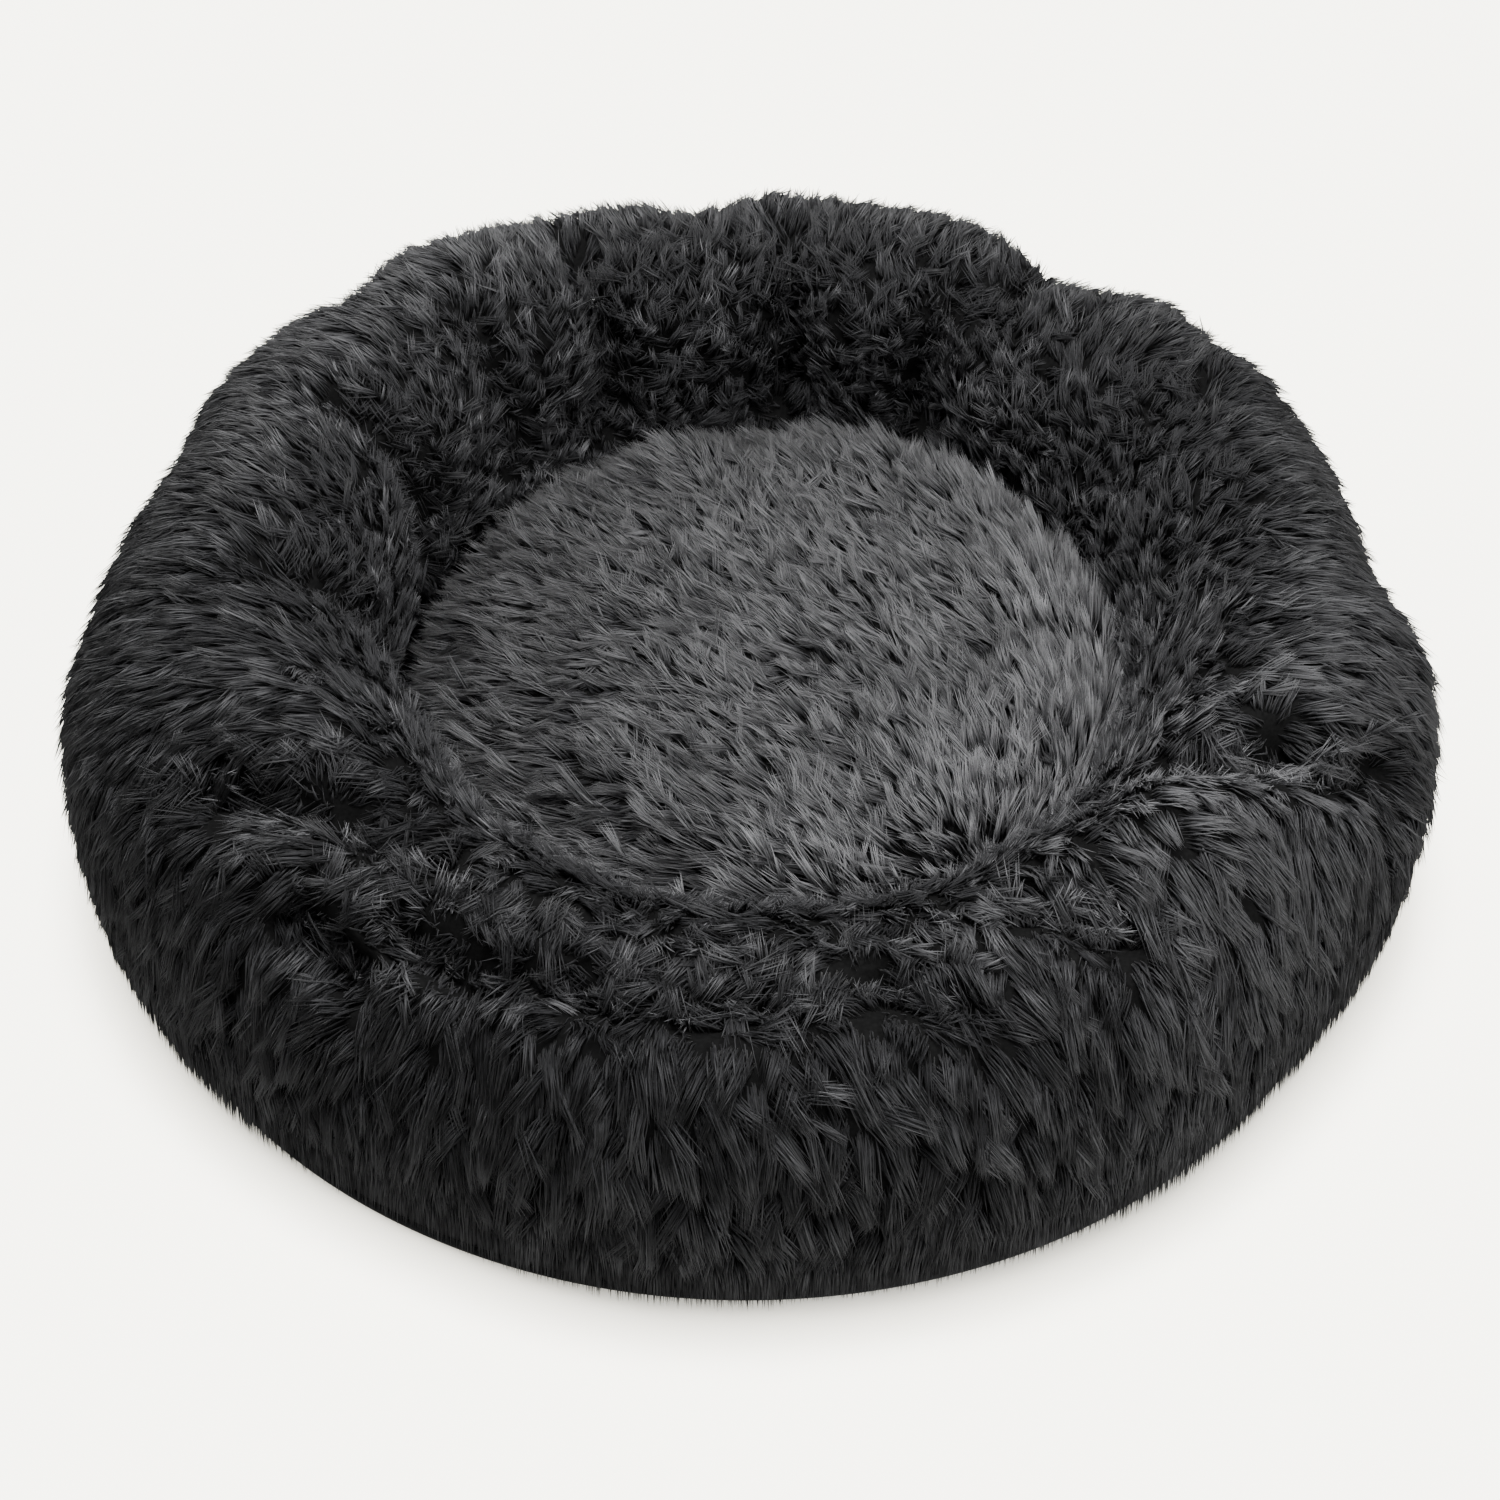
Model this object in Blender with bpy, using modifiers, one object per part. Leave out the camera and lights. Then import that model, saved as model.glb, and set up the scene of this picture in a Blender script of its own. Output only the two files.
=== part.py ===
"""Round pet bed: a stuffed fur rim round a soft centre cushion, on a smooth cloth base.

The rim is a filled tube under four fur panels, lower at the front where the animal steps in.
The centre cushion lies inside it under its own fur panel. The base cloth turns up the side, and a
zip runs round the back left of that upturn. Metres, +Z up, front towards -Y. The origin is on the
floor under the middle of the bed.
"""
import math

import bmesh
import bpy
from mathutils import Matrix, Vector

# Driving dimensions
RIM_RADIUS = 0.392          # widest point of the fur
RIM_BULGE_Z = 0.100         # height of that widest point
CREST_RADIUS = 0.292        # radius of the top of the rim
CREST_Z = 0.207             # height of the top of the rim before it is raised or lowered
WELL_RADIUS = 0.206         # inner wall of the rim
WELL_SHOULDER_Z = 0.090     # where the inner wall starts to lean outwards
INNER_FULLNESS = 2.6        # 2 makes the inner wall a quarter ellipse, more makes it squarer
FUR_THICKNESS = 0.014       # backing cloth and pressed pile together
SEAM_RADIUS = 0.3705        # lower edge of the fur, at the base seam
SEAM_Z = 0.031
CLEAR = 0.0006              # room between pieces that touch

BACK_RISE = 0.006           # the back of the rim stands this much higher than CREST_Z
ENTRY_DIP = 0.027           # the front is this much lower
ENTRY_HALF_ANGLE = 64.0     # half the width of the low front, in degrees
SHOULDER_RISE = 0.004       # small hump at each end of the low front
SHOULDER_HALF_WIDTH = 16.0
WELL_SHIFT = Vector((0.018, 0.012, 0.0))    # the well lies off the middle, to the right and back
SHIFT_END_RADIUS = 0.300                    # nothing from here outwards is shifted
PANEL_SEAMS = {
    "front": (202.5, 337.5),
    "right": (337.5, 412.5),
    "back": (52.5, 127.5),
    "left": (127.5, 202.5),
}
SEAM_GAP_DEGREES = 0.1

BASE_RADIUS = 0.3665
BASE_CLOTH = 0.0016
BASE_TOP_Z = 0.0304
BASE_CORNER = 0.004         # how sharply the base cloth turns up
BASE_PANEL_RADIUS = 0.190   # the round middle piece of the base
PIPING_RADIUS = 0.0022
PIPING_GAP = 0.0003

LINER_CLOTH = 0.0010
LINER_INSET = FUR_THICKNESS + 0.0010    # how far the liners lie inside the fur's outside
FILLING_GAP = 0.0012
LINER_SIDE_RADIUS = 0.3612  # the rim's liner beside the zip
LINER_CORNER = 0.014
RIM_SLIT_RADII, RIM_SLIT_DEGREES = (0.270, 0.311), 30           # openings that the filling goes in by
CUSHION_SLIT_RADII, CUSHION_SLIT_DEGREES = (0.090, 0.120), 60
FLOOR_Z = BASE_CLOTH + CLEAR

CUSHION_RADIUS = 0.2045     # outer face of the centre panel
CUSHION_EDGE_Z = 0.110
CUSHION_CORNER = 0.042
CUSHION_CROWN = 0.020
CUSHION_FOOT = 0.012        # rounding of the cushion's lower edge, inside its panel

ZIP_Z = 0.0160
ZIP_START, ZIP_END = 60, 165            # degrees round the bed
WINDOW_HALF = 0.0075
TAPE_RADIUS, TAPE_CLOTH = 0.3656, 0.0006
TAPE_HALF_GAP, TAPE_EDGE = 0.0010, 0.0072
COIL_RADIUS, COIL_DEPTH = 0.3665, 0.0022
COIL_HALF_GAP, COIL_WIDTH = 0.0007, 0.0025
STOP_DEGREES = 0.4
SLIDER_REST = 163.0
SLIDER_INNER, SLIDER_OUTER = 0.3640, 0.3703
SLIDER_LENGTH, SLIDER_HEIGHT = 0.0120, 0.0096
PULL_LENGTH, PULL_WIDTH, PULL_THICKNESS = 0.024, 0.0075, 0.0011
SLIDER_WALL = 0.0012
SLIDER_POST_LENGTH = 0.0030
BAIL_GAP, BAIL_WIRE, BAIL_HALF_WIDTH = 0.00035, 0.0010, 0.0010

LABEL_DEGREES = 48.0
LABEL_HALF_WIDTH, LABEL_CLOTH = 0.010, 0.0006
LABEL_LOW_Z, LABEL_HIGH_Z = 0.0068, 0.0300

RING_STEPS = 48             # 7.5 degrees a step, so every ring shares its corners with its neighbours
ARC_STEPS = 3               # steps in a quarter of a section
ZIP_STEP_DEGREES = 2.5


def start_scene():
    for ob in list(bpy.data.objects):
        bpy.data.objects.remove(ob, do_unlink=True)
    parts = bpy.data.collections.new("pet_bed")
    tools = bpy.data.collections.new("cutters")
    bpy.context.scene.collection.children.link(parts)
    bpy.context.scene.collection.children.link(tools)
    return parts, tools


PARTS, TOOLS = start_scene()


def finish(name, colour, roughness, metallic=0.0):
    mat = bpy.data.materials.new(name)
    mat.use_nodes = True
    shader = mat.node_tree.nodes["Principled BSDF"]
    shader.inputs["Base Color"].default_value = (*colour, 1.0)
    shader.inputs["Roughness"].default_value = roughness
    shader.inputs["Metallic"].default_value = metallic
    return mat


FUR = finish("rim_fur", (0.030, 0.031, 0.034), 0.95)
CENTER_FUR = finish("center_fur", (0.085, 0.087, 0.092), 0.95)
BASE_CLOTH_FINISH = finish("base_cloth", (0.018, 0.018, 0.020), 0.75)
PIPING = finish("piping_cloth", (0.015, 0.015, 0.017), 0.60)
LINER = finish("liner_cloth", (0.62, 0.62, 0.60), 0.90)
FIBRE = finish("fibre_filling", (0.80, 0.80, 0.78), 1.00)
TAPE = finish("zip_tape_cloth", (0.020, 0.020, 0.022), 0.80)
COIL = finish("zip_coil_plastic", (0.022, 0.022, 0.024), 0.45)
ZIP_METAL = finish("zip_metal", (0.045, 0.045, 0.048), 0.35, 1.0)
LABEL = finish("label_cloth", (0.70, 0.70, 0.68), 0.85)


# Shared tools for modelling

def add_object(name, bm, material, collection=PARTS, smooth_degrees=35.0):
    bmesh.ops.recalc_face_normals(bm, faces=bm.faces)
    mesh = bpy.data.meshes.new(name)
    bm.to_mesh(mesh)
    bm.free()
    mesh.shade_smooth()
    mesh.set_sharp_from_angle(angle=math.radians(smooth_degrees))
    if material:
        mesh.materials.append(material)
    ob = bpy.data.objects.new(name, mesh)
    collection.objects.link(ob)
    return ob


def quarter_arc(centre, reach, start_degrees, steps=ARC_STEPS, fullness=2.0):
    """Points of a quarter ellipse, turning anticlockwise from start_degrees, ends included.

    A fullness over 2 pushes the arc out towards the corner of its box.
    """
    def swell(value):
        return math.copysign(abs(value) ** (2.0 / fullness), value)

    turns = [math.radians(start_degrees + 90.0 * i / steps) for i in range(steps + 1)]
    return [
        (centre[0] + reach[0] * swell(math.cos(t)), centre[1] + reach[1] * swell(math.sin(t))) for t in turns
    ]


def turn(points, closed, start=0.0, sweep=360.0, step=360.0 / RING_STEPS):
    """A bmesh of a section in (radius, height), turned about Z. A part turn gets its ends closed."""
    bm = bmesh.new()
    verts = [bm.verts.new((r, 0.0, z)) for r, z in points]
    pairs = list(zip(verts, verts[1:]))
    if closed:
        pairs.append((verts[-1], verts[0]))
    edges = [bm.edges.new(pair) for pair in pairs]
    full = abs(sweep - 360.0) < 1e-6
    bmesh.ops.rotate(bm, verts=verts, cent=(0, 0, 0), matrix=Matrix.Rotation(math.radians(start), 3, "Z"))
    bmesh.ops.spin(
        bm,
        geom=verts + edges,
        cent=(0, 0, 0),
        axis=(0, 0, 1),
        angle=math.radians(sweep),
        steps=max(round(sweep / step), 1),
        use_merge=full,
    )
    bmesh.ops.remove_doubles(bm, verts=bm.verts, dist=1e-6)
    if not full:
        bmesh.ops.holes_fill(bm, edges=bm.edges, sides=0)
    return bm


def rise_at(degrees):
    """How much the crest stands above CREST_Z at this angle round the bed."""
    from_front = abs((degrees + 90.0 + 180.0) % 360.0 - 180.0)
    rise = BACK_RISE * 0.5 * (1.0 - math.cos(math.radians(from_front)))
    if from_front < ENTRY_HALF_ANGLE:
        rise -= ENTRY_DIP * 0.5 * (1.0 + math.cos(math.pi * from_front / ENTRY_HALF_ANGLE))
    rise += SHOULDER_RISE * math.exp(-(((from_front - ENTRY_HALF_ANGLE) / SHOULDER_HALF_WIDTH) ** 2))
    return rise


def shape_rim(bm):
    """Raises and lowers the rim above the base seam, the same way on every layer of it."""
    for v in bm.verts:
        if v.co.z > SEAM_Z:
            degrees = math.degrees(math.atan2(v.co.y, v.co.x))
            stretch = 1.0 + rise_at(degrees) / (CREST_Z - SEAM_Z)
            v.co.z = SEAM_Z + (v.co.z - SEAM_Z) * stretch


def shift_well(bm):
    """Moves the well and what lies in it off the middle, and the rim less and less towards its outside."""
    for v in bm.verts:
        radius = math.hypot(v.co.x, v.co.y)
        share = (SHIFT_END_RADIUS - radius) / (SHIFT_END_RADIUS - WELL_RADIUS)
        v.co += WELL_SHIFT * min(max(share, 0.0), 1.0)


def delete_faces(bm, wanted):
    bmesh.ops.delete(bm, geom=[f for f in bm.faces if wanted(f.calc_center_median())], context="FACES")


def cut_slit(bm, radii, degrees):
    """Opens the floor of a liner at the front, between two radii."""
    def in_slit(centre):
        radius, angle = polar(centre)
        on_floor = centre.z < FLOOR_Z + LINER_CLOTH
        return on_floor and radii[0] < radius < radii[1] and abs(angle - 270.0) < degrees / 2

    delete_faces(bm, in_slit)


def solidify(ob, thickness):
    shell = ob.modifiers.new("cloth", "SOLIDIFY")
    shell.thickness = thickness
    shell.offset = -1.0
    shell.use_even_offset = True


def polar(point):
    return math.hypot(point.x, point.y), math.degrees(math.atan2(point.y, point.x)) % 360.0


# The rim

def rim_arch(inset):
    """The rim's section from the base seam up over the crest and down to the well's shoulder."""
    seam_radius = SEAM_RADIUS - inset * (SEAM_RADIUS - LINER_SIDE_RADIUS) / LINER_INSET
    lower = quarter_arc(
        (seam_radius, RIM_BULGE_Z), (RIM_RADIUS - inset - seam_radius, RIM_BULGE_Z - SEAM_Z), -90.0
    )
    outer = quarter_arc(
        (CREST_RADIUS, RIM_BULGE_Z),
        (RIM_RADIUS - CREST_RADIUS - inset, CREST_Z - RIM_BULGE_Z - inset),
        0.0,
    )
    inner = quarter_arc(
        (CREST_RADIUS, WELL_SHOULDER_Z),
        (CREST_RADIUS - WELL_RADIUS - inset, CREST_Z - WELL_SHOULDER_Z - inset),
        90.0,
        fullness=INNER_FULLNESS,
    )
    return lower + outer[1:] + inner[1:]


def fur_section():
    outside = rim_arch(0.0) + [(WELL_RADIUS, SEAM_Z), (WELL_RADIUS, FLOOR_Z)]
    inside = rim_arch(FUR_THICKNESS) + [
        (WELL_RADIUS + FUR_THICKNESS, SEAM_Z),
        (WELL_RADIUS + FUR_THICKNESS, FLOOR_Z),
    ]
    return outside + inside[::-1]


def bolster_section(inset, floor_radii=()):
    """The closed section of the tube inside the fur, this far in from the fur's outside."""
    further_in = inset - LINER_INSET
    side = LINER_SIDE_RADIUS - further_in
    well = WELL_RADIUS + inset
    floor = FLOOR_Z + further_in
    corner = LINER_CORNER - further_in
    arch = rim_arch(inset)
    arch[0] = (side, SEAM_Z)
    return (
        arch
        + [(well, SEAM_Z)]
        + quarter_arc((well + corner, floor + corner), (corner, corner), 180.0, 2)
        + [(radius, floor) for radius in floor_radii]
        + quarter_arc((side - corner, floor + corner), (corner, corner), 270.0, 2)
    )


def shape_and_add(name, bm, material):
    shape_rim(bm)
    shift_well(bm)
    return add_object(name, bm, material)


def make_rim():
    for name, (start, end) in PANEL_SEAMS.items():
        sweep = end - start - 2 * SEAM_GAP_DEGREES
        bm = turn(fur_section(), True, start + SEAM_GAP_DEGREES, sweep)
        shape_and_add(f"rim_panel_{name}", bm, FUR)

    bm = turn(bolster_section(LINER_INSET, RIM_SLIT_RADII), True)
    cut_slit(bm, RIM_SLIT_RADII, RIM_SLIT_DEGREES)
    solidify(shape_and_add("rim_liner", bm, LINER), LINER_CLOTH)

    bm = turn(bolster_section(LINER_INSET + LINER_CLOTH + FILLING_GAP), True)
    shape_and_add("rim_filling", bm, FIBRE)


# The centre cushion

def cushion_section(inset):
    """From the axis at the top, out over the crown and down the side to the foot."""
    edge = CUSHION_RADIUS - inset
    corner = CUSHION_CORNER - inset
    top = CUSHION_EDGE_Z - inset
    inner = edge - corner
    crown_steps = 3
    crown = [
        (inner * i / crown_steps, top + CUSHION_CROWN * (1.0 - (i / crown_steps) ** 2))
        for i in range(crown_steps)
    ]
    side = [
        (inner + corner * math.sin(t), top - corner + corner * math.cos(t))
        for t in (math.radians(30 * i) for i in range(4))
    ]
    return crown + side


def cushion_foot(inset):
    """The rounded lower edge of the cushion, from its side down to the floor."""
    further_in = inset - LINER_INSET
    reach = CUSHION_FOOT - further_in
    centre = (CUSHION_RADIUS - LINER_INSET - CUSHION_FOOT, FLOOR_Z + CUSHION_FOOT)
    return quarter_arc(centre, (reach, reach), 270.0, 2)[::-1]


def add_shifted(name, bm, material):
    shift_well(bm)
    return add_object(name, bm, material)


def make_center():
    outside = cushion_section(0.0) + [(CUSHION_RADIUS, FLOOR_Z)]
    inside = cushion_section(FUR_THICKNESS) + [(CUSHION_RADIUS - FUR_THICKNESS, FLOOR_Z)]
    add_shifted("center_panel", turn(outside + inside[::-1], False), CENTER_FUR)

    floor = [(radius, FLOOR_Z) for radius in CUSHION_SLIT_RADII[::-1]] + [(0.0, FLOOR_Z)]
    bm = turn(cushion_section(LINER_INSET) + cushion_foot(LINER_INSET) + floor, False)
    cut_slit(bm, CUSHION_SLIT_RADII, CUSHION_SLIT_DEGREES)
    solidify(add_shifted("cushion_liner", bm, LINER), LINER_CLOTH)

    inset = LINER_INSET + LINER_CLOTH + FILLING_GAP
    floor_z = FLOOR_Z + LINER_CLOTH + FILLING_GAP
    bm = turn(cushion_section(inset) + cushion_foot(inset) + [(0.0, floor_z)], False)
    add_shifted("cushion_filling", bm, FIBRE)


# The base

def make_base():
    window_low, window_high = ZIP_Z - WINDOW_HALF, ZIP_Z + WINDOW_HALF
    bend = quarter_arc((BASE_RADIUS - BASE_CORNER, BASE_CORNER), (BASE_CORNER, BASE_CORNER), 270.0, 2)
    section = (
        [(0.0, 0.0), (BASE_PANEL_RADIUS, 0.0)]
        + bend
        + [(BASE_RADIUS, window_low), (BASE_RADIUS, window_high), (BASE_RADIUS, BASE_TOP_Z)]
    )
    bm = turn(section, False)

    def in_window(centre):
        radius, degrees = polar(centre)
        on_wall = radius > BASE_RADIUS - BASE_CLOTH and window_low < centre.z < window_high
        return on_wall and ZIP_START < degrees < ZIP_END

    delete_faces(bm, in_window)
    base = add_object("base_panel", bm, BASE_CLOTH_FINISH)
    solidify(base, BASE_CLOTH)

    bpy.ops.mesh.primitive_torus_add(
        major_radius=BASE_RADIUS + PIPING_GAP + PIPING_RADIUS,
        minor_radius=PIPING_RADIUS,
        major_segments=RING_STEPS,
        minor_segments=6,
        location=(0, 0, PIPING_RADIUS + PIPING_GAP),
    )
    piping = bpy.context.object
    piping.name = "base_piping"
    piping.data.shade_smooth()
    piping.data.materials.append(PIPING)
    for owner in list(piping.users_collection):
        owner.objects.unlink(piping)
    PARTS.objects.link(piping)


# The zip

def block_section(inner, outer, low, high):
    return [(inner, low), (outer, low), (outer, high), (inner, high)]


def strip(name, section, start, end, material):
    add_object(name, turn(section, True, start, end - start, ZIP_STEP_DEGREES), material)


def make_zip_chain():
    tape_gap, coil_gap, stop_gap = 0.1, 0.8, 0.3    # degrees from the window's ends
    for side, sign in (("lower", -1), ("upper", 1)):
        low, high = sorted((ZIP_Z + sign * TAPE_HALF_GAP, ZIP_Z + sign * TAPE_EDGE))
        section = block_section(TAPE_RADIUS, TAPE_RADIUS + TAPE_CLOTH, low, high)
        strip(f"zip_tape_{side}", section, ZIP_START + tape_gap, ZIP_END - tape_gap, TAPE)
        low, high = sorted((ZIP_Z + sign * COIL_HALF_GAP, ZIP_Z + sign * (COIL_HALF_GAP + COIL_WIDTH)))
        section = block_section(COIL_RADIUS, COIL_RADIUS + COIL_DEPTH, low, high)
        strip(f"zip_teeth_{side}", section, ZIP_START + coil_gap, ZIP_END - coil_gap, COIL)
    reach = COIL_HALF_GAP + COIL_WIDTH
    section = block_section(COIL_RADIUS, COIL_RADIUS + COIL_DEPTH, ZIP_Z - reach, ZIP_Z + reach)
    for name, start in (("open", ZIP_START + stop_gap), ("closed", ZIP_END - stop_gap - STOP_DEGREES)):
        strip(f"zip_stop_{name}", section, start, start + STOP_DEGREES, ZIP_METAL)


def box(name, low, high, material, collection=PARTS):
    """A block between two corners."""
    bm = bmesh.new()
    bmesh.ops.create_cube(bm, size=1.0)
    low, high = Vector(low), Vector(high)
    size = high - low
    bmesh.ops.scale(bm, vec=size, verts=bm.verts)
    bmesh.ops.translate(bm, vec=(low + high) / 2, verts=bm.verts)
    return add_object(name, bm, material, collection)


def cut_with(ob, cutter, operation):
    cutter.hide_render = True
    cutter.display_type = "WIRE"
    cut = ob.modifiers.new(cutter.name, "BOOLEAN")
    cut.operation = operation
    cut.solver = "EXACT"
    cut.object = cutter


def make_slider():
    """Local axes: +X out of the bed, +Y along the zip, +Z up; the origin is on the bed's own axis."""
    travel = bpy.data.objects.new("zip_travel", None)
    PARTS.objects.link(travel)
    travel.rotation_euler.z = math.radians(SLIDER_REST)

    half_length, half_height = SLIDER_LENGTH / 2, SLIDER_HEIGHT / 2
    wall = SLIDER_WALL
    inner, outer = SLIDER_INNER, SLIDER_OUTER
    body = box("zip_slider", (inner, -half_length, ZIP_Z - half_height),
               (outer, half_length, ZIP_Z + half_height), ZIP_METAL)
    bevel = body.modifiers.new("rounding", "BEVEL")
    bevel.width = 0.0005
    bevel.segments = 2

    past = 0.001                # how far a cutter runs past the slider
    post_half = COIL_HALF_GAP / 2
    for side, sign in (("lower", -1), ("upper", 1)):
        near, far = ZIP_Z + sign * post_half, ZIP_Z + sign * (half_height - wall)
        low, high = sorted((near, far))
        channel = box(f"{side}_coil_channel", (inner + wall, -half_length - past, low),
                      (outer - wall, half_length + past, high), None, TOOLS)
        low, high = sorted((ZIP_Z + sign * (half_height - 2 * wall), ZIP_Z + sign * (half_height + past)))
        slot = box(f"{side}_tape_slot", (inner + wall, -half_length - past, low),
                   (COIL_RADIUS, half_length + past, high), None, TOOLS)
        cut_with(body, channel, "DIFFERENCE")
        cut_with(body, slot, "DIFFERENCE")
    middle = box("middle_channel", (inner + wall, -half_length - past, ZIP_Z - 2 * post_half),
                 (outer - wall, half_length - SLIDER_POST_LENGTH, ZIP_Z + 2 * post_half), None, TOOLS)
    cut_with(body, middle, "DIFFERENCE")

    bar = PULL_THICKNESS / 2
    inside = bar + BAIL_GAP
    pin_radius = outer + PIPING_GAP + bar
    section = block_section(inside, inside + BAIL_WIRE, -BAIL_HALF_WIDTH, BAIL_HALF_WIDTH)
    bm = turn(section, True, step=20.0)
    bmesh.ops.translate(bm, vec=(pin_radius, 0, ZIP_Z), verts=bm.verts)
    bail = add_object("bail", bm, None, TOOLS)
    cut_with(body, bail, "UNION")
    body.parent = travel
    for tool in TOOLS.objects:
        tool.parent = travel
    return travel, pin_radius, inside + BAIL_WIRE


def add_outline(curve, points):
    spline = curve.splines.new("POLY")
    spline.points.add(len(points) - 1)
    for point, (x, y) in zip(spline.points, points):
        point.co = (x, y, 0.0, 1.0)
    spline.use_cyclic_u = True


def rounded_rectangle(low, high, radius, steps=4):
    corners = (
        ((high[0] - radius, low[1] + radius), 270.0),
        ((high[0] - radius, high[1] - radius), 0.0),
        ((low[0] + radius, high[1] - radius), 90.0),
        ((low[0] + radius, low[1] + radius), 180.0),
    )
    return [p for centre, start in corners for p in quarter_arc(centre, (radius, radius), start, steps)]


def make_pull(travel, pin_radius, bail_reach):
    """A flat tab whose end bar lies under the slider's bail. Its origin is on the bar's middle."""
    curve = bpy.data.curves.new("zip_pull", "CURVE")
    curve.dimensions = "2D"
    curve.fill_mode = "BOTH"
    bar = PULL_THICKNESS / 2
    curve.extrude = bar
    add_outline(curve, rounded_rectangle((-PULL_WIDTH / 2, -bar), (PULL_WIDTH / 2, PULL_LENGTH), 0.0005))
    eye_half_width = 0.0022
    eye_end = bail_reach + 0.0008
    add_outline(curve, rounded_rectangle((-eye_half_width, bar), (eye_half_width, eye_end), 0.0003, 2))
    grip_low = PULL_LENGTH - 0.010
    add_outline(curve, rounded_rectangle((-0.0018, grip_low), (0.0018, PULL_LENGTH - 0.003), 0.0012))
    pull = bpy.data.objects.new("zip_pull", curve)
    pull.data.materials.append(ZIP_METAL)
    PARTS.objects.link(pull)
    pull.parent = travel
    pull.location = (pin_radius, 0.0, ZIP_Z)
    # Outline X runs up the bed's side, outline Y back along the closed zip, thickness along the radius.
    pull.rotation_euler = Matrix(((0, 0, -1), (0, -1, 0), (-1, 0, 0))).to_euler()


def make_label():
    near = BASE_RADIUS + CLEAR
    label = box("care_label", (near, -LABEL_HALF_WIDTH, LABEL_LOW_Z),
                (near + LABEL_CLOTH, LABEL_HALF_WIDTH, LABEL_HIGH_Z), LABEL)
    label.rotation_euler.z = math.radians(LABEL_DEGREES)


make_rim()
make_center()
make_base()
make_zip_chain()
TRAVEL, PIN_RADIUS, BAIL_REACH = make_slider()
make_pull(TRAVEL, PIN_RADIUS, BAIL_REACH)
make_label()
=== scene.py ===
# %% [markdown]
# # A round pet bed in long fur
#
# The bed is a stuffed ring of fur round a puffed centre cushion, sewn to a smooth base cloth. The
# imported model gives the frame: where each piece lies, how big it is and what moves. This lesson
# makes the looks on top of it, piece by piece, in metres.

# %% Load the frame
import math
from contextlib import contextmanager

import bmesh
import bpy
import numpy as np
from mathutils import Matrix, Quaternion, Vector, noise
from mathutils.bvhtree import BVHTree
from mathutils.kdtree import KDTree


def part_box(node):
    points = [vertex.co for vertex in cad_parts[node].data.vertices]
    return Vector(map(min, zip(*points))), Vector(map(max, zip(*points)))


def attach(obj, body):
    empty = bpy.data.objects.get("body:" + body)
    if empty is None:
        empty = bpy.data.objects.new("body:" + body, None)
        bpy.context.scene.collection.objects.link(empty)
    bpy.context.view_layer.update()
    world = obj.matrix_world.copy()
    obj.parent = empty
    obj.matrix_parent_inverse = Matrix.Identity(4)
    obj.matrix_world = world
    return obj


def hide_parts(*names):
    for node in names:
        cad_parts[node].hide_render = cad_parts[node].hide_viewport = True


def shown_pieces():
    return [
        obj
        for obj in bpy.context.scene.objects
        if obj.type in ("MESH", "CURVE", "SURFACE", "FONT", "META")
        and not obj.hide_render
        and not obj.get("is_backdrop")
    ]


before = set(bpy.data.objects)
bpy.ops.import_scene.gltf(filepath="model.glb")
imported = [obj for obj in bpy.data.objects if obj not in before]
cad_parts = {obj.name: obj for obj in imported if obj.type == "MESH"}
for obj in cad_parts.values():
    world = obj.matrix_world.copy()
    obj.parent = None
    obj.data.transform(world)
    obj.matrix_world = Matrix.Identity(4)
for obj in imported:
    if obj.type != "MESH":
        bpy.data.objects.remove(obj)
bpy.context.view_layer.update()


# %% Helpers for meshes and numbers
FLAT = np.array([1.0, 1.0, 0.0])    # times a point, this leaves what lies across the floor
UP = np.array([0.0, 0.0, 1.0])


def new_object(name, data):
    """A new object at the origin, in the scene."""
    ob = bpy.data.objects.new(name, data)
    bpy.context.scene.collection.objects.link(ob)
    return ob


def from_bmesh(name, bm):
    """A new mesh object from a bmesh, which is used up."""
    mesh = bpy.data.meshes.new(name)
    bm.to_mesh(mesh)
    bm.free()
    return new_object(name, mesh)


@contextmanager
def editing(ob):
    """A bmesh of the object's mesh, written back at the end of the block."""
    bm = bmesh.new()
    bm.from_mesh(ob.data)
    yield bm
    bm.to_mesh(ob.data)
    bm.free()


def apply_modifiers(ob):
    """Bakes the modifiers into the mesh, so that nothing stays live."""
    evaluated = ob.evaluated_get(bpy.context.evaluated_depsgraph_get())
    mesh = bpy.data.meshes.new_from_object(evaluated)
    ob.modifiers.clear()
    ob.data = mesh


def thicken(ob, thickness):
    """Gives a sheet its thickness, inwards from its face."""
    wall = ob.modifiers.new("thickness", "SOLIDIFY")
    wall.thickness = thickness
    wall.offset = -1.0
    apply_modifiers(ob)
    ob.data.shade_smooth()


def get_points(ob, what="co"):
    values = np.empty(len(ob.data.vertices) * 3)
    ob.data.vertices.foreach_get(what, values)
    return values.reshape(-1, 3)


def set_points(ob, points):
    ob.data.vertices.foreach_set("co", np.ascontiguousarray(points, dtype=np.float64).ravel())
    ob.data.update()


def unit(vectors):
    return vectors / np.maximum(np.linalg.norm(vectors, axis=-1, keepdims=True), 1e-9)


def flush(vectors, normals):
    """The vectors less the part that stands off the skin."""
    return vectors - normals * (vectors * normals).sum(axis=1, keepdims=True)


def from_axis(points):
    """Each point's distance from the upright axis."""
    return np.hypot(points[:, 0], points[:, 1])


def azimuth(points):
    """Degrees round the bed, 0 at the right and 270 at the front."""
    return np.degrees(np.arctan2(points[:, 1], points[:, 0])) % 360.0


def turned_from(angle, degrees):
    """How far each angle is from a place round the bed, from -180 to 180."""
    return (angle - degrees + 180.0) % 360.0 - 180.0


def rise(values, start, width):
    """0 up to the start, then rising to 1 over the width."""
    return np.clip((values - start) / width, 0.0, 1.0)


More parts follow.
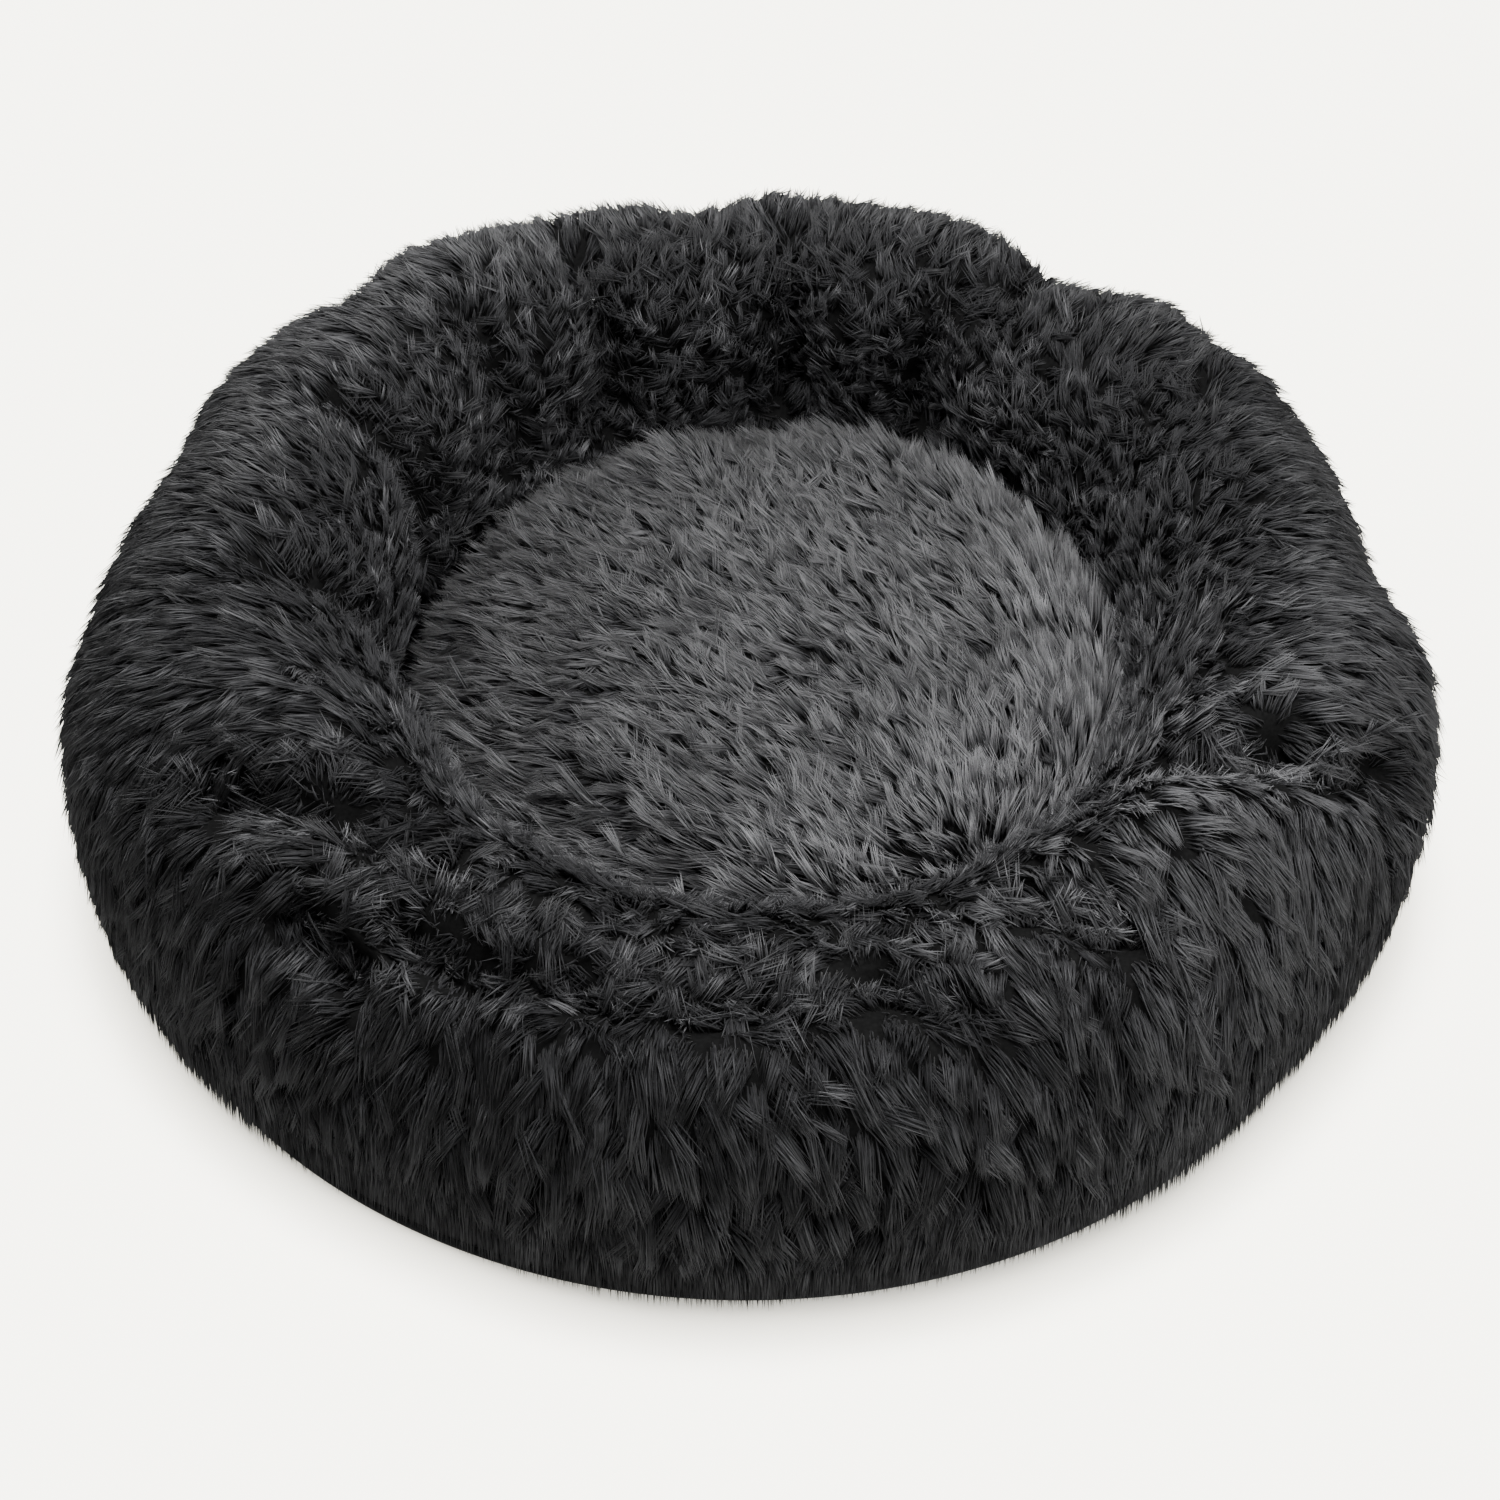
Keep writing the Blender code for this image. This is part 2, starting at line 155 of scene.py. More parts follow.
def fall(values, end, width):
    """1 well below the end, then falling to 0 over the width."""
    return np.clip((end - values) / width, 0.0, 1.0)


def bump(distance, reach):
    """1 at no distance, fading smoothly to 0 past the reach."""
    return np.exp(-((distance / reach) ** 2))


def near_place(points, place, reach):
    """1 at a place, fading smoothly to 0 past the reach."""
    return bump(np.linalg.norm(points - np.array(place), axis=1), reach)


# %% [markdown]
# ## Camera, floor and light
#
# The camera stands in front of the bed and looks down at about 44 degrees, with a longish lens, so
# the ring shows its whole outline. A real studio table gives the pale floor; here it is one plane.

# %% Place the camera
CAMERA_TILT = math.radians(44.15)
CAMERA_DISTANCE = 1.689
CAMERA_AIM = Vector((0.002, 0.0, 0.037))
LENS = 67.45

looking = Vector((0.0, math.cos(CAMERA_TILT), -math.sin(CAMERA_TILT)))
camera = new_object("camera", bpy.data.cameras.new("camera"))
camera.data.lens = LENS
camera.data.sensor_width = 36.0
camera.location = CAMERA_AIM - looking * CAMERA_DISTANCE
camera.rotation_euler = looking.to_track_quat("-Z", "Y").to_euler()
bpy.context.scene.camera = camera
print("camera at", tuple(round(c, 3) for c in camera.location))


# %% Helpers for node materials
def new_material(name, **plain):
    """A Principled material. Plain values go straight on the shader's own sockets."""
    mat = bpy.data.materials.new(name)
    mat.use_nodes = True
    tree = mat.node_tree
    shader = tree.nodes["Principled BSDF"]
    for socket, value in plain.items():
        shader.inputs[socket.replace("_", " ")].default_value = value
    return mat, tree, shader


def node(tree, kind, inputs=(), **settings):
    """One node with its settings and its sockets' values or links."""
    made = tree.nodes.new(kind)
    for key, value in settings.items():
        setattr(made, key, value)
    for key, value in dict(inputs).items():
        if isinstance(value, bpy.types.NodeSocket):
            tree.links.new(value, made.inputs[key])
        else:
            made.inputs[key].default_value = value
    return made


def calc(tree, operation, *values):
    """One math step on up to three numbers or links."""
    return node(tree, "ShaderNodeMath", dict(enumerate(values)), operation=operation).outputs["Value"]


def blend(tree, factor, first, second, **settings):
    """Two colours mixed by a factor; each is a colour or a link."""
    made = node(tree, "ShaderNodeMix", data_type="RGBA", **settings)
    for key, value in (("Factor", factor), ("A", first), ("B", second)):
        if isinstance(value, bpy.types.NodeSocket):
            tree.links.new(value, made.inputs[key])
        else:
            made.inputs[key].default_value = value
    return made.outputs["Result"]


def object_noise(tree, scale, detail, **more):
    """Noise on the piece's own coordinates."""
    where = node(tree, "ShaderNodeTexCoord").outputs["Object"]
    inputs = {"Vector": where, "Scale": scale, "Detail": detail, **more}
    return node(tree, "ShaderNodeTexNoise", inputs).outputs["Fac"]


def spread_value(tree, value, low, high):
    """A value from 0 to 1, spread from low to high."""
    inputs = {"Value": value, "To Min": low, "To Max": high}
    return node(tree, "ShaderNodeMapRange", inputs).outputs["Result"]


def raise_bumps(tree, shader, height, strength, distance):
    """Fine relief too small to model."""
    made = node(tree, "ShaderNodeBump", {"Height": height, "Strength": strength, "Distance": distance})
    tree.links.new(made.outputs["Normal"], shader.inputs["Normal"])


def ramp(tree, factor, stops):
    """A colour ramp through (place, grey or colour) stops."""
    made = node(tree, "ShaderNodeValToRGB", {"Fac": factor})
    elements = made.color_ramp.elements
    while len(elements) < len(stops):
        elements.new(0.5)
    for element, (place, colour) in zip(elements, stops):
        element.position = place
        element.color = (*colour, 1.0) if len(colour) == 3 else colour
    return made.outputs["Color"]


# %% Lay the floor and hang the lights
FLOOR_SIZE = 90.0
FLOOR_TOP = -0.0004
FLOOR_COLOUR = (1.0, 0.975, 0.86, 1.0)
FLOOR_GLOW = 6.1
PAINTED_SHADOW_REACH = 0.045

bm = bmesh.new()
bmesh.ops.create_grid(bm, x_segments=1, y_segments=1, size=FLOOR_SIZE / 2)
bmesh.ops.translate(bm, vec=(0, 0, FLOOR_TOP), verts=bm.verts)
floor = from_bmesh("floor", bm)
floor_finish, floor_tree, floor_shader = new_material(
    "floor_finish", Base_Color=(0.30, 0.30, 0.29, 1.0), Roughness=0.9, Specular_IOR_Level=0.0
)
# The pale table glows to the lens only, so that it stays even and doesn't light the bed from below.
ray = node(floor_tree, "ShaderNodeLightPath")
# Near the bed, ambient occlusion dims the glow: a painted shadow round the bed on the table.
near_bed = node(floor_tree, "ShaderNodeAmbientOcclusion", {"Distance": PAINTED_SHADOW_REACH})
shade = ramp(
    floor_tree, near_bed.outputs["AO"],
    [(0.30, (0.10, 0.10, 0.10)), (0.72, (0.62, 0.61, 0.60)), (0.97, (1.0, 1.0, 1.0))],
)
tint = blend(floor_tree, 1.0, FLOOR_COLOUR, shade, blend_type="MULTIPLY")
strength = calc(floor_tree, "MULTIPLY", ray.outputs["Is Camera Ray"], FLOOR_GLOW)
glow = node(floor_tree, "ShaderNodeEmission", {"Color": tint, "Strength": strength})
both = node(
    floor_tree, "ShaderNodeAddShader", {0: floor_shader.outputs["BSDF"], 1: glow.outputs["Emission"]}
)
floor_tree.links.new(both.outputs["Shader"], floor_tree.nodes["Material Output"].inputs["Surface"])
floor.data.materials.append(floor_finish)
floor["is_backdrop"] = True

# The room lights the bed weakly from all round, but behind the table the lens sees a pale wall.
ROOM_LIGHT = 0.28
world = bpy.data.worlds.new("studio")
world.use_nodes = True
background = world.node_tree.nodes["Background"]
background.inputs["Color"].default_value = (1.0, 1.0, 1.0, 1.0)
seen = node(world.node_tree, "ShaderNodeLightPath").outputs["Is Camera Ray"]
wall_glow = calc(world.node_tree, "MULTIPLY_ADD", seen, FLOOR_GLOW - ROOM_LIGHT, ROOM_LIGHT)
world.node_tree.links.new(wall_glow, background.inputs["Strength"])
bpy.context.scene.world = world


def soft_light(name, place, size, power):
    data = bpy.data.lights.new(name, "AREA")
    data.shape = "DISK"
    data.size = size
    data.energy = power
    lamp = new_object(name, data)
    lamp.location = place
    lamp.rotation_euler = (CAMERA_AIM - Vector(place)).to_track_quat("-Z", "Y").to_euler()


soft_light("overhead_light", (-0.10, -0.06, 2.4), 1.3, 106.0)
soft_light("side_light", (1.9, -1.3, 1.4), 1.0, 42.0)
soft_light("back_light", (-1.7, 2.1, 0.8), 1.2, 30.0)


# %% [markdown]
# ## The stuffed shapes
#
# The ring and the cushion are bags of fabric blown up by loose fibre. Pressed fibre pushes evenly on
# all sides, which is what cloth simulation with a little pressure does, so each bag starts as the
# plain filling solid from the frame, gets an even mesh, is pinched where the maker's stitches
# gather it, and is then inflated for a few frames.

# %% Measure the well from the frame
well_low, well_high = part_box("center_panel")
WELL_CENTRE = np.array([(well_low[0] + well_high[0]) / 2, (well_low[1] + well_high[1]) / 2, 0.0])
SEAM_Z = 0.031                  # the fur is sewn to the base cloth at this height
PANELS = {"front": (202.5, 337.5), "right": (337.5, 412.5), "back": (52.5, 127.5), "left": (127.5, 202.5)}
print("well centre", WELL_CENTRE, "width", round(well_high[0] - well_low[0], 4))


# %% Bring a frame solid in as one closed, even bag
def even_bag(name, node_name, cell, smoothing):
    """A closed bag of even quads over a frame solid, whose loose triangles are joined up first."""
    bm = bmesh.new()
    bm.from_mesh(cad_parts[node_name].data)
    bmesh.ops.remove_doubles(bm, verts=bm.verts, dist=1e-5)
    ob = from_bmesh(name, bm)
    remesh = ob.modifiers.new("even", "REMESH")
    remesh.mode = "VOXEL"
    remesh.voxel_size = cell
    apply_modifiers(ob)
    with editing(ob) as bm:
        for _ in range(smoothing):
            bmesh.ops.smooth_vert(
                bm, verts=bm.verts, factor=0.5, use_axis_x=True, use_axis_y=True, use_axis_z=True
            )
    print(name, len(ob.data.vertices), "points")
    return ob


BAG_CELL = 0.006
rim_bag = even_bag("rim_bag", "rim_filling", BAG_CELL, 8)
cushion_bag = even_bag("cushion_bag", "cushion_filling", BAG_CELL, 6)


# %% [markdown]
# The ring isn't a perfect circle: hand stuffing leaves it fuller in places and slack in others. The
# cloth also folds where it is gathered, and the fur parts round each dark fold.

# %% Uneven stuffing, humps and folds
FULLNESS = (        # degrees round the bed, half width in degrees, metres outwards
    (-40, 9, -0.008), (-14, 15, 0.017), (5, 8, -0.009), (37, 14, 0.017),
    (53, 6, -0.013), (66, 7, 0.005), (127, 26, 0.014), (149, 7, 0.004),
    (162, 6, -0.006), (196, 17, 0.014), (240, 13, -0.018),
)
BACK_RISE = 0.020   # the stuffing stands higher at the back
SKIRT_FULLNESS = 0.008      # the fur is full right down to its seam with the base
HUMPS = (           # place, metres outwards, reach
    ((0.235, -0.208, 0.200), 0.016, 0.044),
    ((-0.225, -0.150, 0.195), 0.015, 0.042),
    ((0.060, 0.290, 0.205), 0.007, 0.070),
    ((-0.160, 0.240, 0.205), 0.006, 0.060),
    ((0.290, 0.060, 0.200), 0.005, 0.060),
    ((-0.290, 0.030, 0.200), 0.005, 0.060),
)
FOLDS = (           # start, end, depth, reach
    ((0.150, 0.228, 0.200), (0.180, 0.262, 0.204), 0.026, 0.018),
    ((0.250, 0.128, 0.205), (0.282, 0.158, 0.206), 0.022, 0.017),
    ((0.318, -0.154, 0.184), (0.356, -0.136, 0.154), 0.028, 0.020),
    ((0.140, -0.246, 0.192), (0.190, -0.268, 0.180), 0.024, 0.017),
    ((-0.115, -0.290, 0.184), (-0.062, -0.308, 0.174), 0.018, 0.013),
    ((-0.028, -0.314, 0.174), (0.026, -0.308, 0.180), 0.016, 0.012),
    ((0.062, -0.298, 0.184), (0.104, -0.312, 0.170), 0.018, 0.013),
    ((-0.175, -0.272, 0.188), (-0.138, -0.294, 0.172), 0.022, 0.014),
    ((-0.290, -0.184, 0.198), (-0.160, -0.210, 0.188), 0.034, 0.016),
    ((-0.245, -0.264, 0.178), (-0.210, -0.286, 0.156), 0.024, 0.015),
    ((0.165, -0.166, 0.178), (0.296, -0.154, 0.204), 0.040, 0.017),
    ((-0.082, 0.200, 0.115), (-0.106, 0.278, 0.212), 0.028, 0.017),
    ((0.020, 0.218, 0.115), (0.028, 0.296, 0.214), 0.028, 0.017),
    ((-0.186, 0.092, 0.115), (-0.240, 0.130, 0.206), 0.025, 0.017),
    ((0.104, 0.200, 0.120), (0.124, 0.250, 0.206), 0.022, 0.016),
    ((-0.140, 0.160, 0.120), (-0.170, 0.205, 0.206), 0.020, 0.016),
    ((-0.222, -0.020, 0.120), (-0.262, -0.014, 0.200), 0.018, 0.017),
    ((-0.036, 0.345, 0.190), (0.006, 0.372, 0.140), 0.016, 0.022),
    ((-0.262, 0.262, 0.180), (-0.280, 0.278, 0.110), 0.016, 0.024),
    ((0.300, 0.230, 0.160), (0.322, 0.205, 0.110), 0.016, 0.022),
)
FOLD_STEPS = 7


def snap_to_skin(ob, points):
    """Each point moved to the nearest point of the skin."""
    return np.array([ob.closest_point_on_mesh(Vector(p))[1] for p in points])


def lay_folds(ob):
    """Every fold as a row of points on the skin."""
    steps = np.linspace(0.0, 1.0, FOLD_STEPS)[:, None]
    return [
        snap_to_skin(ob, np.array(start) * (1 - steps) + np.array(end) * steps)
        for start, end, _, _ in FOLDS
    ]


def from_fold(points, fold):
    """Each point's offset from the nearest point of a fold."""
    apart = points[:, None] - fold[None]
    near = np.argmin((apart ** 2).sum(axis=2), axis=1)
    return apart[np.arange(len(points)), near]


def near_fold(points, fold, reach):
    """1 on a fold, fading smoothly to 0 past the reach."""
    return bump(np.linalg.norm(from_fold(points, fold), axis=1), reach)


def soft_noise(points, scale, seed):
    """Smooth noise from -1 to 1, one value a point."""
    shift = Vector((seed * 7.31, seed * 3.17, seed * 5.73))
    return np.array([noise.noise(Vector(p) / scale + shift) for p in points])


def shape_rim_bag(ob, folds):
    points, normals = get_points(ob), get_points(ob, "normal")
    out = np.zeros(len(points))
    angle, radius, height = azimuth(points), from_axis(points), points[:, 2]
    outer = rise(radius, 0.30, 0.06) * rise(height, 0.02, 0.05)
    for degrees, width, amount in FULLNESS:
        out += amount * bump(turned_from(angle, degrees), width) * outer
    skirt = fall(height, 0.085, 0.04) * rise(height, 0.025, 0.008)
    out += SKIRT_FULLNESS * skirt * (radius > 0.30)
    upper = rise(height, 0.05, 0.06)
    out += (0.0050 * soft_noise(points, 0.075, 1) + 0.0020 * soft_noise(points, 0.030, 4)) * upper
    for place, amount, reach in HUMPS:
        out += amount * near_place(points, place, reach)
    for fold, (_, _, depth, reach) in zip(folds, FOLDS):
        out -= depth * near_fold(points, fold, reach)
    behind = bump(turned_from(angle, 100.0), 75.0)
    points = points + normals * out[:, None]
    points[:, 2] += BACK_RISE * behind * upper
    set_points(ob, points)


folds = lay_folds(rim_bag)
shape_rim_bag(rim_bag, folds)
folds = [snap_to_skin(rim_bag, fold) for fold in folds]
print("ring shaped, folds:", len(FOLDS))


# %% [markdown]
# The cushion is overstuffed: it presses against the ring all round, so its bag is spread until it
# fills the well, with a high, round edge.

# %% Spread the cushion to the walls of the well
CUSHION_SPREAD = 0.206      # the bag's radius, which leaves the pile to close the last gap
CUSHION_LIFT = 0.014
CUSHION_BACK_RISE = 0.012   # and a little higher at the back
CUSHION_CROWN = 0.007       # the stuffing stands higher in the middle

points = get_points(cushion_bag)
local = points - WELL_CENTRE
bag_radius = from_axis(local).max()
local[:, :2] *= CUSHION_SPREAD / bag_radius
crown = CUSHION_CROWN * bump(from_axis(local), 0.13)
crown += CUSHION_BACK_RISE * rise(local[:, 1], 0.0, CUSHION_SPREAD)
local[:, 2] += rise(local[:, 2], 0.03, 0.05) * (CUSHION_LIFT + crown + 0.006 * soft_noise(points, 0.07, 8))
set_points(cushion_bag, local + WELL_CENTRE)
print("cushion spread from", round(float(bag_radius), 4), "to", CUSHION_SPREAD)


# %% Inflate a bag
def inflate(ob, pinned, pressure, cap, frames=15):
    """Cloth under pressure, its movement capped. pinned is each point's hold, from 0 to 1."""
    start = get_points(ob)
    held = ob.vertex_groups.new(name="held")
    for i in np.nonzero(pinned > 0.02)[0]:
        held.add([int(i)], float(pinned[i]), "REPLACE")
    cloth = ob.modifiers.new("cloth", "CLOTH")
    settings = cloth.settings
    for key, value in dict(
        quality=4, mass=0.3, tension_stiffness=8.0, compression_stiffness=4.0, shear_stiffness=4.0,
        bending_stiffness=0.15, use_pressure=True, uniform_pressure_force=pressure,
        vertex_group_mass="held",
    ).items():
        setattr(settings, key, value)
    settings.effector_weights.gravity = 0.0
    cloth.collision_settings.use_collision = False
    scene = bpy.context.scene
    cloth.point_cache.frame_start = 1
    cloth.point_cache.frame_end = frames
    for number in range(1, frames + 1):
        scene.frame_set(number)
    apply_modifiers(ob)
    scene.frame_set(1)
    moved = get_points(ob) - start
    length = np.linalg.norm(moved, axis=1, keepdims=True)
    moved *= np.minimum(1.0, cap / np.maximum(length, 1e-9))
    set_points(ob, start + moved)
    print(ob.name, "swelled by up to", round(float(length.max()) * 1000, 1), "mm, capped at", cap * 1000)


def rim_hold(points):
    """The floor, the well's foot and the folds hold still."""
    near = np.max([near_fold(points, fold, 0.014) for fold in folds], axis=0)
    return np.maximum(fall(points[:, 2], 0.045, 0.02), np.where(near > 0.4, near, 0.0))


inflate(rim_bag, rim_hold(get_points(rim_bag)), 4.0, 0.010)
inflate(cushion_bag, fall(get_points(cushion_bag)[:, 2], 0.04, 0.02), 4.0, 0.008)


# %% [markdown]
# ## The fur
#
# Long faux fur is thousands of fine fibres that gather into locks: they leave the cloth, bend over
# along the nap, and their tips draw together. One strand is modelled once, as a thin three-sided
# spindle, pointed at both ends. Copies of it are then bent one by one along a short curve.
# Particle hair would be quicker to lay, but only a mesh keeps its shape outside Blender.

# %% One strand
STRAND_WAIST = 0.42     # where along its length a strand is thickest


def strand_template():
    """A strand one unit long and wide: its points, its faces' corners and each face's size."""
    bm = bmesh.new()
    halves = (0.0, STRAND_WAIST, 0.0, 1.0), (STRAND_WAIST, 1.0, 1.0, 0.0)
    for low, high, radius_low, radius_high in halves:
        made = bmesh.ops.create_cone(
            bm, cap_ends=False, segments=3, radius1=radius_low, radius2=radius_high, depth=high - low
        )
        bmesh.ops.translate(bm, vec=(0, 0, (low + high) / 2), verts=made["verts"])
    bmesh.ops.remove_doubles(bm, verts=bm.verts, dist=1e-5)
    bmesh.ops.recalc_face_normals(bm, faces=bm.faces)
    bm.verts.index_update()
    points = np.array([v.co for v in bm.verts])
    corners = np.array([v.index for f in bm.faces for v in f.verts])
    sizes = np.array([len(f.verts) for f in bm.faces])
    bm.free()
    return points, corners, sizes


STRAND, STRAND_CORNERS, STRAND_SIZES = strand_template()
print("strand:", len(STRAND), "points,", len(STRAND_SIZES), "faces")


# %% Scatter roots evenly over a bag
def skin_triangles(ob):
    """The bag's triangles: their corners' places and normals."""
    mesh = ob.data
    mesh.calc_loop_triangles()
    corners = np.empty(len(mesh.loop_triangles) * 3, dtype=np.int32)
    mesh.loop_triangles.foreach_get("vertices", corners)
    corners = corners.reshape(-1, 3)
    return get_points(ob)[corners], get_points(ob, "normal")[corners]


def scatter(ob, keep, density, rng):
    """Roots and normals, this many a square metre, where keep(points) says fur grows."""
    places, normals = skin_triangles(ob)
    middle = places.mean(axis=1)
    wanted = keep(middle)
    places, normals = places[wanted], normals[wanted]
    area = np.linalg.norm(np.cross(places[:, 1] - places[:, 0], places[:, 2] - places[:, 0]), axis=1) / 2
    total = np.cumsum(area)
    count = int(total[-1] * density)
    marks = (np.arange(count) + rng.random(count)) / count * total[-1]
    chosen = np.minimum(np.searchsorted(total, marks), len(total) - 1)
    u, v = rng.random(count), rng.random(count)
    over = u + v > 1.0
    u[over], v[over] = 1.0 - u[over], 1.0 - v[over]
    weights = np.stack([1.0 - u - v, u, v], axis=1)[:, :, None]
    return (places[chosen] * weights).sum(axis=1), unit((normals[chosen] * weights).sum(axis=1))


# %% Turn directions and gather tips into locks
LOCK_RADIUS = 0.0035        # strands further than this from a lock's middle are shorter, and darker as painted shade between the locks


def turn_about(vectors, axes, angles):
    """Each vector turned about its own axis, which is square to it."""
    sideways = np.cross(axes, vectors)
    return vectors * np.cos(angles)[:, None] + sideways * np.sin(angles)[:, None]


def nearest(points, targets):
    """The index of the nearest target to each point."""
    tree = KDTree(len(targets))
    for i, target in enumerate(targets):
        tree.insert(target, i)
    tree.balance()
    return np.array([tree.find(p)[1] for p in points])


def comb(roots, normals, nap, lift, length, rng, unruly, coarse, strands_a_lock=10, draw=0.70):
    """Each strand's root, middle control point and tip, with locks drawn together at their tips.

    coarse is how many times wider than usual the locks are. The last result is how far off its
    lock's middle each strand grows, from 0 to 1.
    """
    count = len(roots)
    share = coarse ** -2.0
    locks = rng.choice(count, int(share.sum() / strands_a_lock), replace=False, p=share / share.sum())
    lock_of = nearest(roots, roots[locks])
    lock_turn = rng.normal(0.0, 1.0, len(locks))
    lock_lift = rng.normal(0.0, 0.5, len(locks))
    lock_length = rng.normal(1.0, 0.16, len(locks)).clip(0.6, 1.35)

    off = np.linalg.norm(roots - roots[locks][lock_of], axis=1) / (LOCK_RADIUS * coarse)
    off = np.clip(off - 0.35, 0.0, 1.0)
    length = length * (1.0 - 0.25 * off)
    turned = (lock_turn[lock_of] + rng.normal(0.0, 0.35, count)) * unruly
    heading = turn_about(nap, normals, turned)
    raised = (lift + lock_lift[lock_of] * unruly).clip(0.02, 1.5)[:, None]
    reach = (length * lock_length[lock_of] * rng.uniform(0.78, 1.06, count))[:, None]
    start = roots - normals * 0.0015
    knee = start + unit(normals * (0.25 + raised) + heading) * reach * 0.45
    tip = knee + unit(normals * raised * 0.35 + heading) * reach * 0.60
    lead_tip, lead_knee = tip[locks][lock_of], knee[locks][lock_of]
    pull = (draw * rng.uniform(0.5, 1.2, count)).clip(0.0, 0.95)[:, None]
    tip = tip + (lead_tip - tip) * pull + rng.normal(0.0, 0.0009, (count, 3))
    knee = knee + (lead_knee - knee) * pull * 0.35
    return start, knee, tip, lock_of, off


# %% Lay the tips down along the skin
def settle(points, ob, highest):
    """Brings points that stand further than highest off the skin back to that height."""
    skin = BVHTree.FromObject(ob, bpy.context.evaluated_depsgraph_get())
    for i, point in enumerate(points):
        place, normal, _, apart = skin.find_nearest(Vector(point))
        if apart > highest[i] or (Vector(point) - place).dot(normal) < 0.001:
            points[i] = place + normal * highest[i]
    return points


# %% Lay out the strands as one mesh
FUR_MAP = "OFBake"      # the strands' own map: across is a strand's tone, up is root to tip


def lay_strands(name, start, knee, tip, width, tone, rng):
    """A mesh of bent strand copies. width is each strand's half width, tone its lightness."""
    count, size = len(start), len(STRAND)
    t = STRAND[:, 2][None, :, None]
    centre = (
        start[:, None] * (1 - t) ** 2 + knee[:, None] * 2 * t * (1 - t) + tip[:, None] * t ** 2
    )
    along = unit(tip - start)
    first = unit(np.cross(along, rng.normal(0.0, 1.0, (count, 3))))
    second = np.cross(along, first)
    across = STRAND[:, 0][None, :, None] * first[:, None] + STRAND[:, 1][None, :, None] * second[:, None]
    points = centre + across * width[:, None, None]

    mesh = bpy.data.meshes.new(name)
    mesh.vertices.add(count * size)
    mesh.vertices.foreach_set("co", points.ravel())
    corners = (STRAND_CORNERS[None, :] + np.arange(count)[:, None] * size).ravel()
    mesh.loops.add(len(corners))
    mesh.loops.foreach_set("vertex_index", corners)
    sizes = np.tile(STRAND_SIZES, count)
    mesh.polygons.add(len(sizes))
    mesh.polygons.foreach_set("loop_start", np.concatenate([[0], np.cumsum(sizes)[:-1]]))
    mesh.update(calc_edges=True)
    mesh.shade_smooth()

    side = 0.02 * STRAND[STRAND_CORNERS, 0]
    over = (tone[:, None] + side[None, :]).clip(0.001, 0.999)
    up = np.broadcast_to(STRAND[STRAND_CORNERS, 2].clip(0.001, 0.999), over.shape)
    layer = mesh.uv_layers.new(name=FUR_MAP)
    layer.data.foreach_set("uv", np.stack([over, up], axis=-1).ravel())
    return new_object(name, mesh)


# %% Fur materials
def fur_material(name, root, middle, tip_dark, tip_light):
    """Dark at the root, lighter to the tip, and lighter again on the paler strands."""
    mat, tree, shader = new_material(
        name, Roughness=0.6, Sheen_Weight=0.05, Sheen_Roughness=0.5, Specular_IOR_Level=0.13
    )
    where = node(tree, "ShaderNodeUVMap", uv_map=FUR_MAP)
    parts = node(tree, "ShaderNodeSeparateXYZ", {"Vector": where.outputs["UV"]})
    tone, height = parts.outputs["X"], parts.outputs["Y"]
    dark = ramp(tree, height, [(0.0, root), (0.45, middle), (1.0, tip_dark)])
    light = ramp(tree, height, [(0.0, root), (0.45, tip_dark), (1.0, tip_light)])
    tree.links.new(blend(tree, tone, dark, light), shader.inputs["Base Color"])
    return mat


rim_fur = fur_material(
    "rim_fur_finish",
    (0.002, 0.002, 0.002), (0.009, 0.009, 0.010), (0.030, 0.030, 0.032), (0.245, 0.245, 0.253),
)
# The cushion's fur is the ring's fur made lighter: painted light, for the light that falls on it from
# above.
center_fur = fur_material(
    "center_fur_finish",
    (0.005, 0.005, 0.006), (0.018, 0.018, 0.020), (0.058, 0.058, 0.060), (0.296, 0.296, 0.304),
)

# %% [markdown]
# The nap of the ring runs from the well over the crest and down the outside. A fold parts it, so
# there the fur lies away from the crease. The lowest fur hangs down over the seam of the base,
# except along the zip and at the front right, where the base shows.

# %% Fur on the ring
RIM_DENSITY = 270000
STRAND_HALF_WIDTH = 0.00058
PILE_LENGTH = 0.033
LOW_PILE_LENGTH = 0.031
REACH_LIMIT = 0.405
CREST_LIMIT = 0.2285
PAINTED_LIGHT_AND_SHADE = (          # place, change of tone, reach: painted light where the fur is made paler, painted shade where it is made darker
    ((0.270, -0.230, 0.170), 0.60, 0.110),
    ((0.240, -0.180, 0.200), 0.30, 0.060),
    ((-0.230, -0.030, 0.170), -0.35, 0.110),
    ((0.000, 0.240, 0.170), -0.20, 0.120),
    ((0.270, 0.120, 0.200), -0.30, 0.100),
    ((0.000, -0.370, 0.120), -0.08, 0.160),
)
BARE_HEMS = ((43.0, 171.0, 0.0300), (273.0, 301.0, 0.0130))     # from, to, lowest fur


def rim_grows(points):
    return points[:, 2] > np.where(from_axis(points) > 0.28, SEAM_Z + 0.001, 0.085)


def rim_nap(roots, normals):
    """Over the crest and outwards, turned by slow noise and parted at the folds."""
    out = unit((roots - WELL_CENTRE * 0.5) * FLAT)
    ring = np.stack([-out[:, 1], out[:, 0], np.zeros(len(out))], axis=1)
    nap = unit(np.cross(ring, normals))
    waves = 0.60 * soft_noise(roots, 0.09, 2) + 0.40 * soft_noise(roots, 0.035, 7)
    nap = turn_about(nap, normals, waves + 0.55 * soft_noise(roots, 0.013, 12))
    for fold, (_, _, _, reach) in zip(folds, FOLDS):
        share = near_fold(roots, fold, reach * 1.4)[:, None]
        nap = nap * (1 - share) + unit(flush(from_fold(roots, fold), normals)) * share * 0.9
    return unit(flush(nap, normals))


def lowest_fur(angle):
    """How low the fur may hang at each angle round the bed."""
    low = np.full(len(angle), 0.004)
    for first, last, height in BARE_HEMS:
        low = np.where((angle > first) & (angle < last), height, low)
    return low


